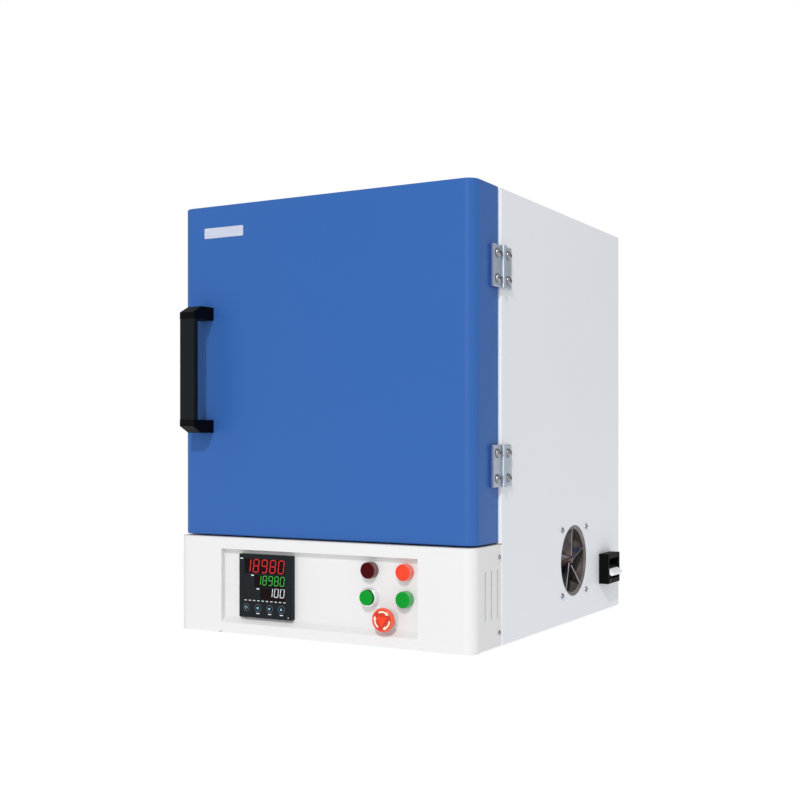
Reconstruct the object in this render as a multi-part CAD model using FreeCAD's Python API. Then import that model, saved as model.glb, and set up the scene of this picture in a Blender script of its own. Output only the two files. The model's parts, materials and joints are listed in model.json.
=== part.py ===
"""Bench-top muffle furnace: sheet-steel cabinet, hinged insulated door, control panel below the chamber.

Modelled in millimetres, +Z up. While modelling, X = 0 is the cabinet's centre plane, Y = 0 its front plane
(the operator stands at -Y) and Z = 0 the bench. At the end every piece is moved by one translation, so that
the origin is the centre of the footprint of the whole furnace.
"""
import FreeCAD, Part
import math
import os

V = FreeCAD.Vector
X_AXIS = V(1, 0, 0)
Y_AXIS = V(0, 1, 0)
Z_AXIS = V(0, 0, 1)

# Sheet metal
SHEET = 1.2
PLATE = 1.5
BEND = 3.0
FLANGE = 12.0

# Cabinet
CABINET_WIDTH = 514.6
CABINET_DEPTH = 501.8
CABINET_TOP = 654.4
CABINET_BOTTOM = 2.4
SHELF_HEIGHT = 163.0

# Door: the cabinet shows by the reveal at each side, and the door stands over the lid
DOOR_REVEAL = 3.5
DOOR_OVER_LID = 2.2
DOOR_OVER_COVER = 2.5
DOOR_THICKNESS = 76.8
DOOR_CORNER = 18.0
DOOR_EDGE = 1.2
DOOR_GAP = 2.7
PLUG_CLEAR = 3.5
PLUG_REACH = 25.0
PLUG_DRAFT = 4.0
GASKET_WIDTH = 12.0
GASKET_CLEAR = 0.4

# Chamber: its insulation fills the casing, which the air gaps set off from the cabinet
CHAMBER_WIDTH = 200.0
CHAMBER_HEIGHT = 200.0
CHAMBER_DEPTH = 300.0
COLLAR_DEPTH = 40.0
RAIL_X = 130.0
RAIL_WIDTH = 40.0
RAIL_HEIGHT = 42.0
AIR_ABOVE = 53.7
AIR_BESIDE = 59.6
AIR_BEHIND = 62.6
HEARTH_THICKNESS = 10.0
HEARTH_GAP = 6.0

# Heating elements: bent rod in a shallow pocket of each side board
ROD_RADIUS = 3.5
ROD_SIDES = 8
ROD_RUNS = 6
ROD_MARGIN = 30.0
ROD_END_GAP = 14.0
BEND_STEPS = 4
POCKET_MARGIN = 8.0
POCKET_CLEAR = 1.0
TERMINAL_REACH = 22.0
BEAD_WALL = 6.0
BEAD_LENGTH = 14.0
LEAD_CLEAR = 1.0

# Flue and thermocouple in the back wall
FLUE_RADIUS = 10.0
FLUE_BORE = 8.0
FLUE_X = 60.0
FLUE_BELOW_ROOF = 37.0
FLUE_PROUD = 6.0
FLUE_COLLAR = 7.0
PROBE_RADIUS = 4.0
PROBE_BELOW_ROOF = 51.0
PROBE_REACH = 35.0
PROBE_HEAD = 15.0
PROBE_HEAD_LENGTH = 24.0

# Front cover of the control compartment
COVER_FRONT = 86.6
COVER_TOP = 146.4
COVER_BOTTOM = 2.5
COVER_WALL = 2.0
COVER_CORNER = 18.0
COVER_LAP = 12.0
COVER_SEAM = 4.4
COVER_SCREW_Y = -3.8
COVER_SCREW_LOW = 21.4
COVER_SCREW_HIGH = 128.6
FOOT_LIP_FROM = 178.0
RECESS_WIDTH = 342.0
RECESS_X = -2.0
RECESS_BOTTOM = 16.5
RECESS_TOP = 128.7
RECESS_DEPTH = 10.0
RECESS_BEVEL = 8.0
RECESS_EDGE = 1.5
SLOT_WIDTH = 3.5
SLOT_BOTTOM = 42.0
SLOT_TOP = 111.5
SLOT_PITCH = 20.3
SLOT_FIRST = -49.0
SLOT_COUNT = 3

# Controller
BEZEL = 96.0
BEZEL_X = -92.2
BEZEL_Z = 74.4
BEZEL_DEPTH = 9.6
BODY_SIDE = 90.0
BODY_DEPTH = 65.0
KEY_RADIUS = 4.9
KEY_TRAVEL = 0.4
KEY_DEPTH = 3.0
KEY_PROUD = 0.2
KEY_FIRST = 14.0
KEY_PITCH = 21.4
KEY_DROP = 80.5
WINDOW_DEPTH = 2.0
WINDOW_INSET = 0.3
WINDOW_RIGHT = 84.5
WINDOW_LEFTS = (11.0, 29.0, 40.0)
WINDOW_TOPS = (6.7, 30.6, 50.0)
WINDOW_BOTTOMS = (28.5, 48.8, 68.0)

# Lamps, start button and emergency stop
LAMP_RADIUS = 12.0
LAMP_PROUD = 12.5
LAMP_EDGE = 1.2
LAMP_LEFT = 88.3
LAMP_RIGHT = 146.0
LAMP_HIGH = 108.5
LAMP_LOW = 70.0
BARREL_RADIUS = 10.5
BARREL_LENGTH = 28.0
NUT_WALL = 4.0
NUT_HEIGHT = 5.0
CONTACT_SIDE = 22.0
RING_RADIUS = 13.5
RING_HEIGHT = 12.0
RING_EDGE = 1.3
CAP_RADIUS = 10.8
CAP_PROUD = 4.6
CAP_TRAVEL = 3.0
CAP_CLEAR = 0.6
CAP_EDGE = 0.8
STOP_X = 119.0
STOP_Z = 41.0
STOP_HEAD_RADIUS = 17.3
STOP_PROUD = 24.0
STOP_TRAVEL = 5.0
STOP_HEAD_DEPTH = 12.0
STOP_STEM = 8.0
STOP_NOSE = 6.0
STOP_STEM_BACK = 2.0
STOP_COLLAR = 14.5
STOP_COLLAR_HEIGHT = 5.0
STOP_CROWN = 3.0
STOP_BOSS = 7.2
STOP_BOSS_HEIGHT = 1.4
STOP_CAP = 5.0
STOP_CLEAR = 0.3
RUNNING_FIT = 0.05

# Handle
HANDLE_FROM_EDGE = 46.6
HANDLE_LENGTH = 193.5
HANDLE_WIDTH = 27.7
HANDLE_STAND = 49.0
HANDLE_LEG = 20.0
HANDLE_EDGE = 1.2
HANDLE_SCREW = 3.1
GRIP_THICKNESS = 17.0
GRIP_INSET = 0.8
GRIP_EDGE = 2.5

# Nameplate blank
PLATE_FROM_EDGE = 80.2
PLATE_FROM_TOP = 40.9
PLATE_WIDTH = 73.6
PLATE_HEIGHT = 17.5
PLATE_PROUD = 1.0
PLATE_CORNER = 1.5

# Hinges
HINGE_SIZE = 60.0
HINGE_FROM_TOP = 115.1
HINGE_FROM_BOTTOM = 109.6
HINGE_LEAF = 4.0
HINGE_BARREL = 4.2
HINGE_PIN = 2.4
KNUCKLE_GAP = 0.35
SCREW_HEAD_HEIGHT = 3.3
HINGE_HOLES = 36.0
HINGE_SCREW = 6.0
HINGE_OUT = 4.7

# Fan
FAN_SIDE = 119.0
FAN_DEPTH = 38.0
FAN_FROM_REAR = 215.8
FAN_BELOW_SHELF = 4.5
FAN_RIM = 2.0
FAN_LUG = 7.1
FAN_CORNER = 8.0
FAN_SCREW = 2.2
FAN_SCREW_HEAD = 4.0
SPOKE_WIDTH = 6.0
SPOKE_THICKNESS = 3.0
BLADES = 5
BLADE_CLEAR = 4.0
BLADE_CHORD = 27.0
BLADE_CAMBER = 3.0
BLADE_PITCH = 42.0
MOTOR_RADIUS = 19.0
MOTOR_LENGTH = 12.0
HUB_RADIUS = 13.0
HUB_GAP = 1.0
HUB_LENGTH = 20.0
BLADE_THICKNESS = 1.4
MOTOR_SHAFT = 3.0
SHAFT_LENGTH = 30.0

# Circuit breaker on the side
BREAKER_FLOOR = 1.4
LEVER_CLEAR = 0.6
LEVER_DRUM = 6.0
LEVER_EDGE = 1.2
LEVER_THICKNESS = 6.4
PIVOT_RADIUS = 2.0
PIVOT_LENGTH = 4.0
TEST_FROM_EDGE = 8.0
TEST_FROM_FOOT = 6.0
TEST_DEPTH = 4.0
TEST_TRAVEL = 0.8
TEST_PROUD = 1.2
BREAKER_WIDTH = 57.6
BREAKER_FROM_REAR = 71.0
BREAKER_Z = 74.5
BREAKER_HEIGHT = 51.0
BREAKER_PROUD = 17.0
LEVER_WIDTH = 46.0
LEVER_LENGTH = 17.0
LEVER_REST = -35.0
LEVER_WINDOW = 17.0
BREAKER_PIVOT = 9.0
TEST_RADIUS = 2.5

# Rear: two fields of vent slots, the cable gland and the screws down both edges
VENT_LENGTH = 100.0
VENT_HEIGHT = 4.0
VENT_PITCH = 11.0
VENT_SPACING = 130.0
VENT_LOW = 34.0
VENT_LOW_ROWS = 8
VENT_BELOW_TOP = 39.4
VENT_HIGH_ROWS = 6
GLAND_X = -180.0
GLAND_Z = 60.0
GLAND_BORE = 4.5
GLAND_WALL = 3.5
GLAND_NUT = 14.0
GLAND_NUT_HEIGHT = 6.0
GLAND_DOME = 11.5
GLAND_LENGTH = 20.0
GLAND_THREAD = 10.0
REAR_SCREW_MARGIN = 16.0
REAR_SCREW_ROWS = 5
PAN_HEAD = 3.4
PAN_HEIGHT = 2.0
PAN_SHANK = 1.5

# Feet
FOOT_RADIUS = 15.0
FOOT_HEIGHT = 6.0
FOOT_FROM_SIDE = 56.1
FOOT_FROM_FRONT = 36.6
FOOT_FROM_REAR = 45.0

# Control gear on the base pan
SINK_X = 42.5
SINK_WIDTH = 85.0
SINK_DEPTH = 90.0
SINK_HEIGHT = 32.0
SINK_BASE = 6.0
SINK_FIN = 2.5
SINK_FINS = 7
SINK_FROM_REAR = 101.8
RELAY_SIDE = 45.0
RELAY_HEIGHT = 24.0
BLOCK_WAYS = 5
BLOCK_PITCH = 14.0
BLOCK_DEPTH = 30.0
BLOCK_HEIGHT = 28.0
BLOCK_NOTCH = 8.0
BLOCK_WEB = 4.0
BLOCK_STEP = 12.0
BLOCK_FROM_REAR = 91.8

side = CABINET_WIDTH / 2
inner = side - SHEET
rear_inside = CABINET_DEPTH - SHEET
door_half = side - DOOR_REVEAL
door_front = -DOOR_GAP - DOOR_THICKNESS
door_bottom = COVER_TOP + DOOR_OVER_COVER
door_top = CABINET_TOP + DOOR_OVER_LID
handle_x = -door_half + HANDLE_FROM_EDGE
handle_bottom = (door_bottom + door_top - HANDLE_LENGTH) / 2
handle_top = handle_bottom + HANDLE_LENGTH
hinge_x = side + HINGE_OUT
hinge_y = -DOOR_GAP / 2
hinge_low = door_bottom + HINGE_FROM_BOTTOM
hinge_high = door_top - HINGE_FROM_TOP
casing_wall = PLATE
casing_bottom = SHELF_HEIGHT + PLATE + RAIL_HEIGHT
casing_top = CABINET_TOP - SHEET - AIR_ABOVE
casing_middle = (casing_bottom + casing_top) / 2
board_out_x = inner - AIR_BESIDE - casing_wall
board_out_z = (casing_top - casing_bottom) / 2 - casing_wall
chamber_front = PLATE + COLLAR_DEPTH
chamber_back = chamber_front + CHAMBER_DEPTH
chamber_floor = casing_middle - CHAMBER_HEIGHT / 2
chamber_roof = casing_middle + CHAMBER_HEIGHT / 2
board_back = rear_inside - AIR_BEHIND - casing_wall
flue_z = chamber_roof - FLUE_BELOW_ROOF
probe_z = chamber_roof - PROBE_BELOW_ROOF
recess_floor = -COVER_FRONT + RECESS_DEPTH
cover_half = inner
fan_y = CABINET_DEPTH - FAN_FROM_REAR
fan_z = SHELF_HEIGHT - FAN_BELOW_SHELF - FAN_SIDE / 2
fan_back = inner - FAN_DEPTH
fan_bore = FAN_SIDE / 2 - FAN_RIM
breaker_y = CABINET_DEPTH - BREAKER_FROM_REAR
pivot_x = side + BREAKER_PIVOT
deck_top = FOOT_HEIGHT + PLATE


def box(x0, x1, y0, y1, z0, z1):
    """Block between two corners."""
    return Part.makeBox(x1 - x0, y1 - y0, z1 - z0, V(x0, y0, z0))


def rod(radius, start, direction, length):
    """Round bar from a point along a direction."""
    return Part.makeCylinder(radius, length, start, direction)


def tube(outer, bore, start, direction, length):
    """Round bar with a hole right through."""
    return rod(outer, start, direction, length).cut(rod(bore, start, direction, length))


def fuse(shapes):
    """One solid from touching shapes."""
    return shapes[0].multiFuse(shapes[1:]).removeSplitter()


def edges_at(shape, test):
    """Edges whose centre passes a test."""
    return [edge for edge in shape.Edges if test(edge.CenterOfMass, edge)]


def upright(edge):
    """Whether an edge stands vertical."""
    ends = edge.Vertexes
    return len(ends) == 2 and abs(ends[0].Z - ends[1].Z) > 1 and abs(ends[0].X - ends[1].X) < 1e-6


def turned(profile, start, direction):
    """Solid of revolution from (radius, height) points, standing on a point along a direction."""
    wire = Part.makePolygon([V(r, 0, h) for r, h in profile] + [V(profile[0][0], 0, profile[0][1])])
    solid = Part.Face(wire).revolve(V(0, 0, 0), Z_AXIS, 360)
    return aimed(solid, start, direction)


def aimed(shape, start, direction):
    """Shape that was built up the Z axis, turned to a direction and moved to a point."""
    result = shape.copy()
    result.Placement = FreeCAD.Placement(start, FreeCAD.Rotation(Z_AXIS, direction)).multiply(shape.Placement)
    return result


def dome_screw(head_radius, head_height, shank_radius, shank_length, seat, outward):
    """Low-headed screw, its head standing outward from its seat; flats take the place of its rounds."""
    head = prism(10, head_radius, 0, head_height)
    head = head.makeChamfer(head_height * 0.45, edges_at(head, lambda c, e: c.z > head_height - 0.01))
    return aimed(fuse([head, prism(6, shank_radius, -shank_length, 0)]), seat, outward)


def prism(sides, radius, low, high):
    """Many-sided bar up the Z axis, its corners on a radius."""
    corners = [V(radius * math.cos(2 * math.pi * i / sides), radius * math.sin(2 * math.pi * i / sides), low)
               for i in range(sides + 1)]
    return Part.Face(Part.makePolygon(corners)).extrude(V(0, 0, high - low))


def clearance_hole(radius, start, direction, length):
    """Twelve-sided cutter whose flats lie on a radius, for screws and leads that no one sees."""
    return aimed(prism(12, radius / math.cos(math.pi / 12), 0, length), start, direction)


def door_body(inset, front, back):
    """Door block with rounded front corners, drawn in by an inset on its four sides."""
    half = door_half - inset
    block = box(-half, half, front, back, door_bottom + inset, door_top - inset)
    corners = edges_at(block, lambda c, e: upright(e) and c.y < (front + back) / 2)
    return block.makeFillet(DOOR_CORNER - inset, corners)


def door_shell():
    """Folded pan of the door, open towards the chamber."""
    outer = door_body(0, door_front, -DOOR_GAP)
    rims = edges_at(outer, lambda c, e: not upright(e) and c.y < -DOOR_GAP - 1)
    outer = outer.makeChamfer(DOOR_EDGE, rims)
    return outer.cut(door_body(PLATE, door_front + PLATE, 0))


def door_inner_plate():
    """Plate that closes the pan, with a window for the plug."""
    half = door_half - PLATE
    plate = box(-half, half, -DOOR_GAP - PLATE, -DOOR_GAP, door_bottom + PLATE, door_top - PLATE)
    return plate.cut(throat_block(PLUG_CLEAR, -DOOR_GAP - 2 * PLATE, 0))


def throat_block(inset, front, back):
    """Block the shape of the chamber's mouth, drawn in by an inset, between two depths."""
    wide = CHAMBER_WIDTH / 2 - inset
    high = CHAMBER_HEIGHT / 2 - inset
    return box(-wide, wide, front, back, casing_middle - high, casing_middle + high)


def door_insulation():
    """Fibre board between the pan and the plate."""
    half = door_half - DOOR_CORNER
    return box(-half, half, door_front + PLATE, -DOOR_GAP - PLATE, door_bottom + PLATE, door_top - PLATE)


def door_plug():
    """Refractory plug that enters the throat, with drafted sides."""
    straight = throat_block(PLUG_CLEAR, -DOOR_GAP - PLATE, DOOR_GAP)
    ends = [throat_wire(PLUG_CLEAR, DOOR_GAP), throat_wire(PLUG_CLEAR + PLUG_DRAFT, PLUG_REACH)]
    return fuse([straight, Part.makeLoft(ends, True)])


def throat_wire(inset, y):
    """Outline of the chamber's mouth, drawn in by an inset, at a depth."""
    wide = CHAMBER_WIDTH / 2 - inset
    high = CHAMBER_HEIGHT / 2 - inset
    corners = [V(s * wide, y, casing_middle + t * high) for s, t in ((-1, -1), (1, -1), (1, 1), (-1, 1))]
    return Part.makePolygon(corners + corners[:1])


def door_gasket():
    """Woven seal round the plug; it stops short of the cabinet's front frame."""
    hole = PLUG_CLEAR - PLATE
    face = -DOOR_GAP
    frame = throat_block(hole - GASKET_WIDTH, face, -GASKET_CLEAR)
    return frame.cut(throat_block(hole, face - 1, 1))


def handle_brackets():
    """Two legs of the bridge handle, chamfered at their outer front corners."""
    return Part.makeCompound([handle_leg(handle_top, 1), handle_leg(handle_bottom, -1)])


def handle_leg(end, up):
    """One leg, its outer end at a height and its inner side facing the other leg."""
    front = door_front - HANDLE_STAND
    shoulder = front + HANDLE_LEG
    low_cut = HANDLE_LEG / 2
    outline = [(door_front, end), (shoulder, end), (front, end - up * low_cut),
               (front, end - up * HANDLE_LEG), (front + GRIP_THICKNESS, end - up * HANDLE_LEG),
               (door_front, end - up * HANDLE_LEG)]
    left = handle_x - HANDLE_WIDTH / 2
    wire = Part.makePolygon([V(left, y, z) for y, z in outline + outline[:1]])
    leg = Part.Face(wire).extrude(V(HANDLE_WIDTH, 0, 0))
    ends = edges_at(leg, lambda c, e: abs(c.x - handle_x) > 1 and c.y < shoulder)
    leg = leg.makeChamfer(HANDLE_EDGE, ends)
    start = V(handle_x, front + GRIP_THICKNESS, end - up * HANDLE_LEG / 2)
    bore = clearance_hole(HANDLE_SCREW, start, Y_AXIS, HANDLE_STAND)
    return leg.cut(bore)


def handle_grip():
    """Grip bar between the legs, a little slimmer than they are."""
    front = door_front - HANDLE_STAND
    half = HANDLE_WIDTH / 2 - GRIP_INSET
    bar = box(handle_x - half, handle_x + half, front + GRIP_INSET, front + GRIP_THICKNESS,
              handle_bottom + HANDLE_LEG, handle_top - HANDLE_LEG)
    return bar.makeFillet(GRIP_EDGE, edges_at(bar, lambda c, e: upright(e)))


def handle_screws():
    """Machine screws that hold the legs from inside the door pan."""
    length = HANDLE_STAND - GRIP_THICKNESS
    screws = []
    for z in (handle_bottom + HANDLE_LEG / 2, handle_top - HANDLE_LEG / 2):
        seat = V(handle_x, door_front, z)
        screws.append(aimed(prism(6, HANDLE_SCREW, 0, length - 1), seat, -Y_AXIS))
    return Part.makeCompound(screws)


def nameplate():
    """Blank plate with rounded corners."""
    x = -door_half + PLATE_FROM_EDGE
    z = door_top - PLATE_FROM_TOP
    plate = box(x - PLATE_WIDTH / 2, x + PLATE_WIDTH / 2, door_front - PLATE_PROUD, door_front,
                z - PLATE_HEIGHT / 2, z + PLATE_HEIGHT / 2)
    corners = edges_at(plate, lambda c, e: abs(c.x - x) > 1 and abs(c.z - z) > 1)
    return plate.makeFillet(PLATE_CORNER, corners)


def knuckle(z0, z1, toward):
    """Barrel section of a hinge with the tongue that joins it to its leaf (toward = -1 door, +1 cabinet)."""
    barrel = rod(HINGE_BARREL, V(hinge_x, hinge_y, z0), Z_AXIS, z1 - z0)
    far = hinge_y + toward * (HINGE_BARREL + 1)
    tongue = box(side, side + HINGE_LEAF, min(hinge_y, far), max(hinge_y, far), z0, z1)
    return barrel.fuse(tongue)


def hinge_leaf(centre, toward):
    """Leaf of a machine hinge with two countersunk holes and its share of the barrel."""
    near = hinge_y + toward * (HINGE_BARREL + 0.5)
    far = hinge_y + toward * HINGE_SIZE / 2
    low = centre - HINGE_SIZE / 2
    high = centre + HINGE_SIZE / 2
    leaf = box(side, side + HINGE_LEAF, min(near, far), max(near, far), low, high)
    leaf = leaf.makeChamfer(1.0, edges_at(leaf, lambda c, e: c.x > side + HINGE_LEAF - 0.1))
    third = HINGE_SIZE / 4
    if toward > 0:
        spans = [(low, centre - third), (centre + third, high)]
    else:
        spans = [(centre - third + KNUCKLE_GAP, centre + third - KNUCKLE_GAP)]
    leaf = fuse([leaf] + [knuckle(z0, z1, toward) for z0, z1 in spans])
    pin_bore = HINGE_PIN + (RUNNING_FIT if toward < 0 else 0)
    leaf = leaf.cut(rod(pin_bore, V(hinge_x, hinge_y, low - 1), Z_AXIS, HINGE_SIZE + 2))
    for z in (centre - HINGE_HOLES / 2, centre + HINGE_HOLES / 2):
        start = V(side - 1, hinge_y + toward * HINGE_HOLES / 2, z)
        leaf = leaf.cut(clearance_hole(HINGE_SCREW / 2, start, X_AXIS, HINGE_LEAF + 2))
    return leaf


def hinge_packing(centre):
    """Packing strip that brings the door's leaf level with the cabinet's."""
    near = hinge_y - HINGE_BARREL - 0.5
    far = hinge_y - HINGE_SIZE / 2
    pad = box(door_half, side, far, near, centre - HINGE_SIZE / 2, centre + HINGE_SIZE / 2)
    for z in (centre - HINGE_HOLES / 2, centre + HINGE_HOLES / 2):
        start = V(door_half - 1, hinge_y - HINGE_HOLES / 2, z)
        pad = pad.cut(clearance_hole(HINGE_SCREW / 2, start, X_AXIS, DOOR_REVEAL + 2))
    return pad


def hinge_pin(centre):
    """Pin pressed into the cabinet's leaf, its ends flush."""
    return rod(HINGE_PIN, V(hinge_x, hinge_y, centre - HINGE_SIZE / 2), Z_AXIS, HINGE_SIZE)


def hinge_screws(toward):
    """Dome screws of both hinges on one side of the pins."""
    screws = []
    for centre in (hinge_low, hinge_high):
        for z in (centre - HINGE_HOLES / 2, centre + HINGE_HOLES / 2):
            seat = V(side + HINGE_LEAF, hinge_y + toward * HINGE_HOLES / 2, z)
            grip = HINGE_LEAF + (DOOR_REVEAL if toward < 0 else 0)
            screws.append(dome_screw(HINGE_SCREW, SCREW_HEAD_HEIGHT, HINGE_SCREW / 2, grip, seat, X_AXIS))
    return Part.makeCompound(screws)


def side_panel(hand):
    """Cabinet side (hand = 1 right, -1 left): a sheet folded inwards at the front above the front cover."""
    top = CABINET_TOP - SHEET
    outer = box(inner - FLANGE, side, 0, FLANGE, COVER_TOP + 1, top)
    outer = outer.makeFillet(BEND, edges_at(outer, lambda c, e: upright(e) and c.x > inner and c.y < 1))
    hollow = box(inner - FLANGE - 1, inner, SHEET, FLANGE + 1, COVER_TOP, top + 1)
    inside = edges_at(hollow, lambda c, e: upright(e) and c.x > inner - 1 and c.y < SHEET + 1)
    fold = outer.cut(hollow.makeFillet(BEND - SHEET, inside))
    sheet = box(inner, side, FLANGE, CABINET_DEPTH, CABINET_BOTTOM, top)
    skirt = box(inner, side, COVER_SEAM, FLANGE, CABINET_BOTTOM, COVER_TOP + 1)
    panel = fuse([fold, sheet, skirt])
    if hand > 0:
        panel = panel.cut(rod(fan_bore, V(inner - 1, fan_y, fan_z), X_AXIS, SHEET + 2))
        for y, z in fan_holes():
            panel = panel.cut(clearance_hole(FAN_SCREW, V(inner - 1, y, z), X_AXIS, SHEET + 2))
        return panel
    return panel.mirror(V(0, 0, 0), X_AXIS)


def top_panel():
    """Lid sheet with folded front and rear edges between the sides."""
    lid = box(-side, side, 0, CABINET_DEPTH, CABINET_TOP - SHEET, CABINET_TOP)
    front = box(-front_half(), front_half(), 0, SHEET, CABINET_TOP - FLANGE, CABINET_TOP - SHEET)
    return fuse([lid, front])


def front_half():
    """Half the width between the folds of the two sides."""
    return inner - FLANGE


def front_frame():
    """Front plate round the throat."""
    half = front_half()
    plate = box(-half, half, 0, PLATE, COVER_TOP, CABINET_TOP - FLANGE)
    return plate.cut(throat_block(0, -1, PLATE + 1))


def rear_cover():
    """Rear sheet with two fields of vent slots and holes for flue and cable gland."""
    sheet = box(-inner, inner, rear_inside, CABINET_DEPTH, CABINET_BOTTOM, CABINET_TOP - SHEET)
    sheet = sheet.cut(Part.makeCompound([vent_slot(x, z) for x, z in vent_places()]))
    start = rear_inside - 1
    for x, z in rear_screw_places():
        sheet = sheet.cut(clearance_hole(PAN_SHANK, V(x, start, z), Y_AXIS, SHEET + 2))
    sheet = sheet.cut(rod(FLUE_RADIUS, V(FLUE_X, start, flue_z), Y_AXIS, SHEET + 2))
    return sheet.cut(rod(GLAND_BORE + GLAND_WALL, V(GLAND_X, start, GLAND_Z), Y_AXIS, SHEET + 2))


def vent_places():
    """Centres of the rear vent slots, a field for the control gear and one for the space over the casing."""
    low = [VENT_LOW + VENT_PITCH * row for row in range(VENT_LOW_ROWS)]
    high = [CABINET_TOP - VENT_BELOW_TOP - VENT_PITCH * row for row in range(VENT_HIGH_ROWS)]
    return [(VENT_SPACING * column, z) for z in low + high for column in (-0.5, 0.5)]


def vent_slot(x, z):
    """Cutter for one level slot through the rear sheet."""
    return box(x - VENT_LENGTH / 2, x + VENT_LENGTH / 2, rear_inside - 1, CABINET_DEPTH + 1,
               z - VENT_HEIGHT / 2, z + VENT_HEIGHT / 2)


def rear_screw_places():
    """Centres of the screws down both edges of the rear sheet."""
    low = CABINET_BOTTOM + REAR_SCREW_MARGIN
    step = (CABINET_TOP - CABINET_BOTTOM - 2 * REAR_SCREW_MARGIN) / (REAR_SCREW_ROWS - 1)
    return [(s * (inner - FLANGE + 2), low + step * i) for s in (-1, 1) for i in range(REAR_SCREW_ROWS)]


def rear_screws():
    """Pan screws of the rear sheet."""
    seats = [V(x, CABINET_DEPTH, z) for x, z in rear_screw_places()]
    return Part.makeCompound([dome_screw(PAN_HEAD, PAN_HEIGHT, PAN_SHANK, SHEET, seat, Y_AXIS)
                              for seat in seats])


def base_pan():
    """Floor sheet of the control compartment, turned up along its sides."""
    low = FOOT_HEIGHT
    reach = COVER_FRONT - COVER_WALL - 1
    half = cover_half - COVER_CORNER
    floor = box(-half, half, -reach, COVER_LAP, low, low + PLATE)
    deck = box(-inner, inner, COVER_LAP, rear_inside, low, low + PLATE)
    lips = [box(s * inner - (PLATE if s > 0 else 0), s * inner + (PLATE if s < 0 else 0),
                COVER_LAP, rear_inside, low, low + FLANGE) for s in (-1, 1)]
    return fuse([floor, deck] + lips)


def feet():
    """Four rubber pads under the base pan."""
    x = inner - FOOT_FROM_SIDE
    rows = (-COVER_FRONT + FOOT_FROM_FRONT, CABINET_DEPTH - FOOT_FROM_REAR)
    pad = prism(16, FOOT_RADIUS, 0, FOOT_HEIGHT)
    return Part.makeCompound([aimed(pad, V(s * x, y, 0), Z_AXIS) for s in (-1, 1) for y in rows])


def shelf():
    """Deck between the electrics and the chamber."""
    return box(-inner, inner, BEND, rear_inside, SHELF_HEIGHT, SHELF_HEIGHT + PLATE)


def casing_rails():
    """Two channels that carry the inner casing on the shelf."""
    low = SHELF_HEIGHT + PLATE
    high = casing_bottom
    rails = []
    for x in (-RAIL_X, RAIL_X):
        left = x - RAIL_WIDTH / 2
        rail = box(left, left + RAIL_WIDTH, chamber_front, board_back, low, high)
        rails.append(rail.cut(box(left + PLATE, left + RAIL_WIDTH + 1, chamber_front - 1, board_back + 1,
                                  low + PLATE, high - PLATE)))
    return Part.makeCompound(rails)


def inner_casing():
    """Steel box round the insulation, open at the front."""
    x = board_out_x + casing_wall
    z = board_out_z + casing_wall
    casing = box(-x, x, PLATE, board_back + casing_wall, casing_middle - z, casing_middle + z)
    casing = casing.cut(box(-board_out_x, board_out_x, 0, board_back,
                            casing_middle - board_out_z, casing_middle + board_out_z))
    return casing.cut(rear_bores(board_back - 1, casing_wall + 2))


def rear_bores(start, length):
    """Cutter for everything that passes through the back wall."""
    bores = [rod(FLUE_RADIUS, V(FLUE_X, start, flue_z), Y_AXIS, length),
             rod(PROBE_RADIUS, V(0, start, probe_z), Y_AXIS, length)]
    for x, z in lead_places():
        bores.append(clearance_hole(ROD_RADIUS + LEAD_CLEAR, V(x, start, z), Y_AXIS, length))
    return Part.makeCompound(bores)


def lead_places():
    """Where the four element leads leave the chamber."""
    heights = rod_heights()
    return [(hand * rod_x(), z) for hand in (-1, 1) for z in (heights[0], heights[-1])]


def throat_collar():
    """Hard refractory ring that frames the throat behind the front plate."""
    ring = box(-board_out_x, board_out_x, PLATE, chamber_front,
               casing_middle - board_out_z, casing_middle + board_out_z)
    return ring.cut(throat_block(0, 0, chamber_front + 1))


def level_board(up):
    """Roof (up = 1) or floor (up = -1) board over the whole width."""
    near = casing_middle + up * CHAMBER_HEIGHT / 2
    far = casing_middle + up * board_out_z
    return box(-board_out_x, board_out_x, chamber_front, chamber_back, min(near, far), max(near, far))


def rod_heights():
    """Heights of the runs of a heating element."""
    first = chamber_floor + ROD_MARGIN
    return [first + rod_pitch() * i for i in range(ROD_RUNS)]


def rod_pitch():
    """Distance between two runs of a heating element."""
    return (CHAMBER_HEIGHT - 2 * ROD_MARGIN) / (ROD_RUNS - 1)


def rod_x():
    """Distance of the element's plane from the centre plane."""
    return CHAMBER_WIDTH / 2 + ROD_RADIUS


def side_board(hand):
    """Wall board with the shallow pocket that holds its heating element."""
    low = chamber_floor
    high = chamber_floor + CHAMBER_HEIGHT
    board = box(CHAMBER_WIDTH / 2, board_out_x, chamber_front, chamber_back, low, high)
    heights = rod_heights()
    margin = ROD_RADIUS + POCKET_MARGIN
    pocket = box(CHAMBER_WIDTH / 2 - 1, CHAMBER_WIDTH / 2 + 2 * ROD_RADIUS,
                 chamber_front + ROD_END_GAP, chamber_back + 1, heights[0] - margin, heights[-1] + margin)
    board = board.cut(pocket)
    return board if hand > 0 else board.mirror(V(0, 0, 0), X_AXIS)


def back_board():
    """End board with its bores for flue, probe and element leads."""
    board = box(-board_out_x, board_out_x, chamber_back, board_back,
                casing_middle - board_out_z, casing_middle + board_out_z)
    return board.cut(rear_bores(chamber_back - 1, board_back - chamber_back + 2))


def hearth_plate():
    """Loose fired plate on the chamber floor."""
    half = CHAMBER_WIDTH / 2 - HEARTH_GAP
    plate = box(-half, half, chamber_front, chamber_back - HEARTH_GAP,
                chamber_floor, chamber_floor + HEARTH_THICKNESS)
    return plate.makeFillet(2.0, edges_at(plate, lambda c, e: c.z > chamber_floor + HEARTH_THICKNESS - 0.1))


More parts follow.
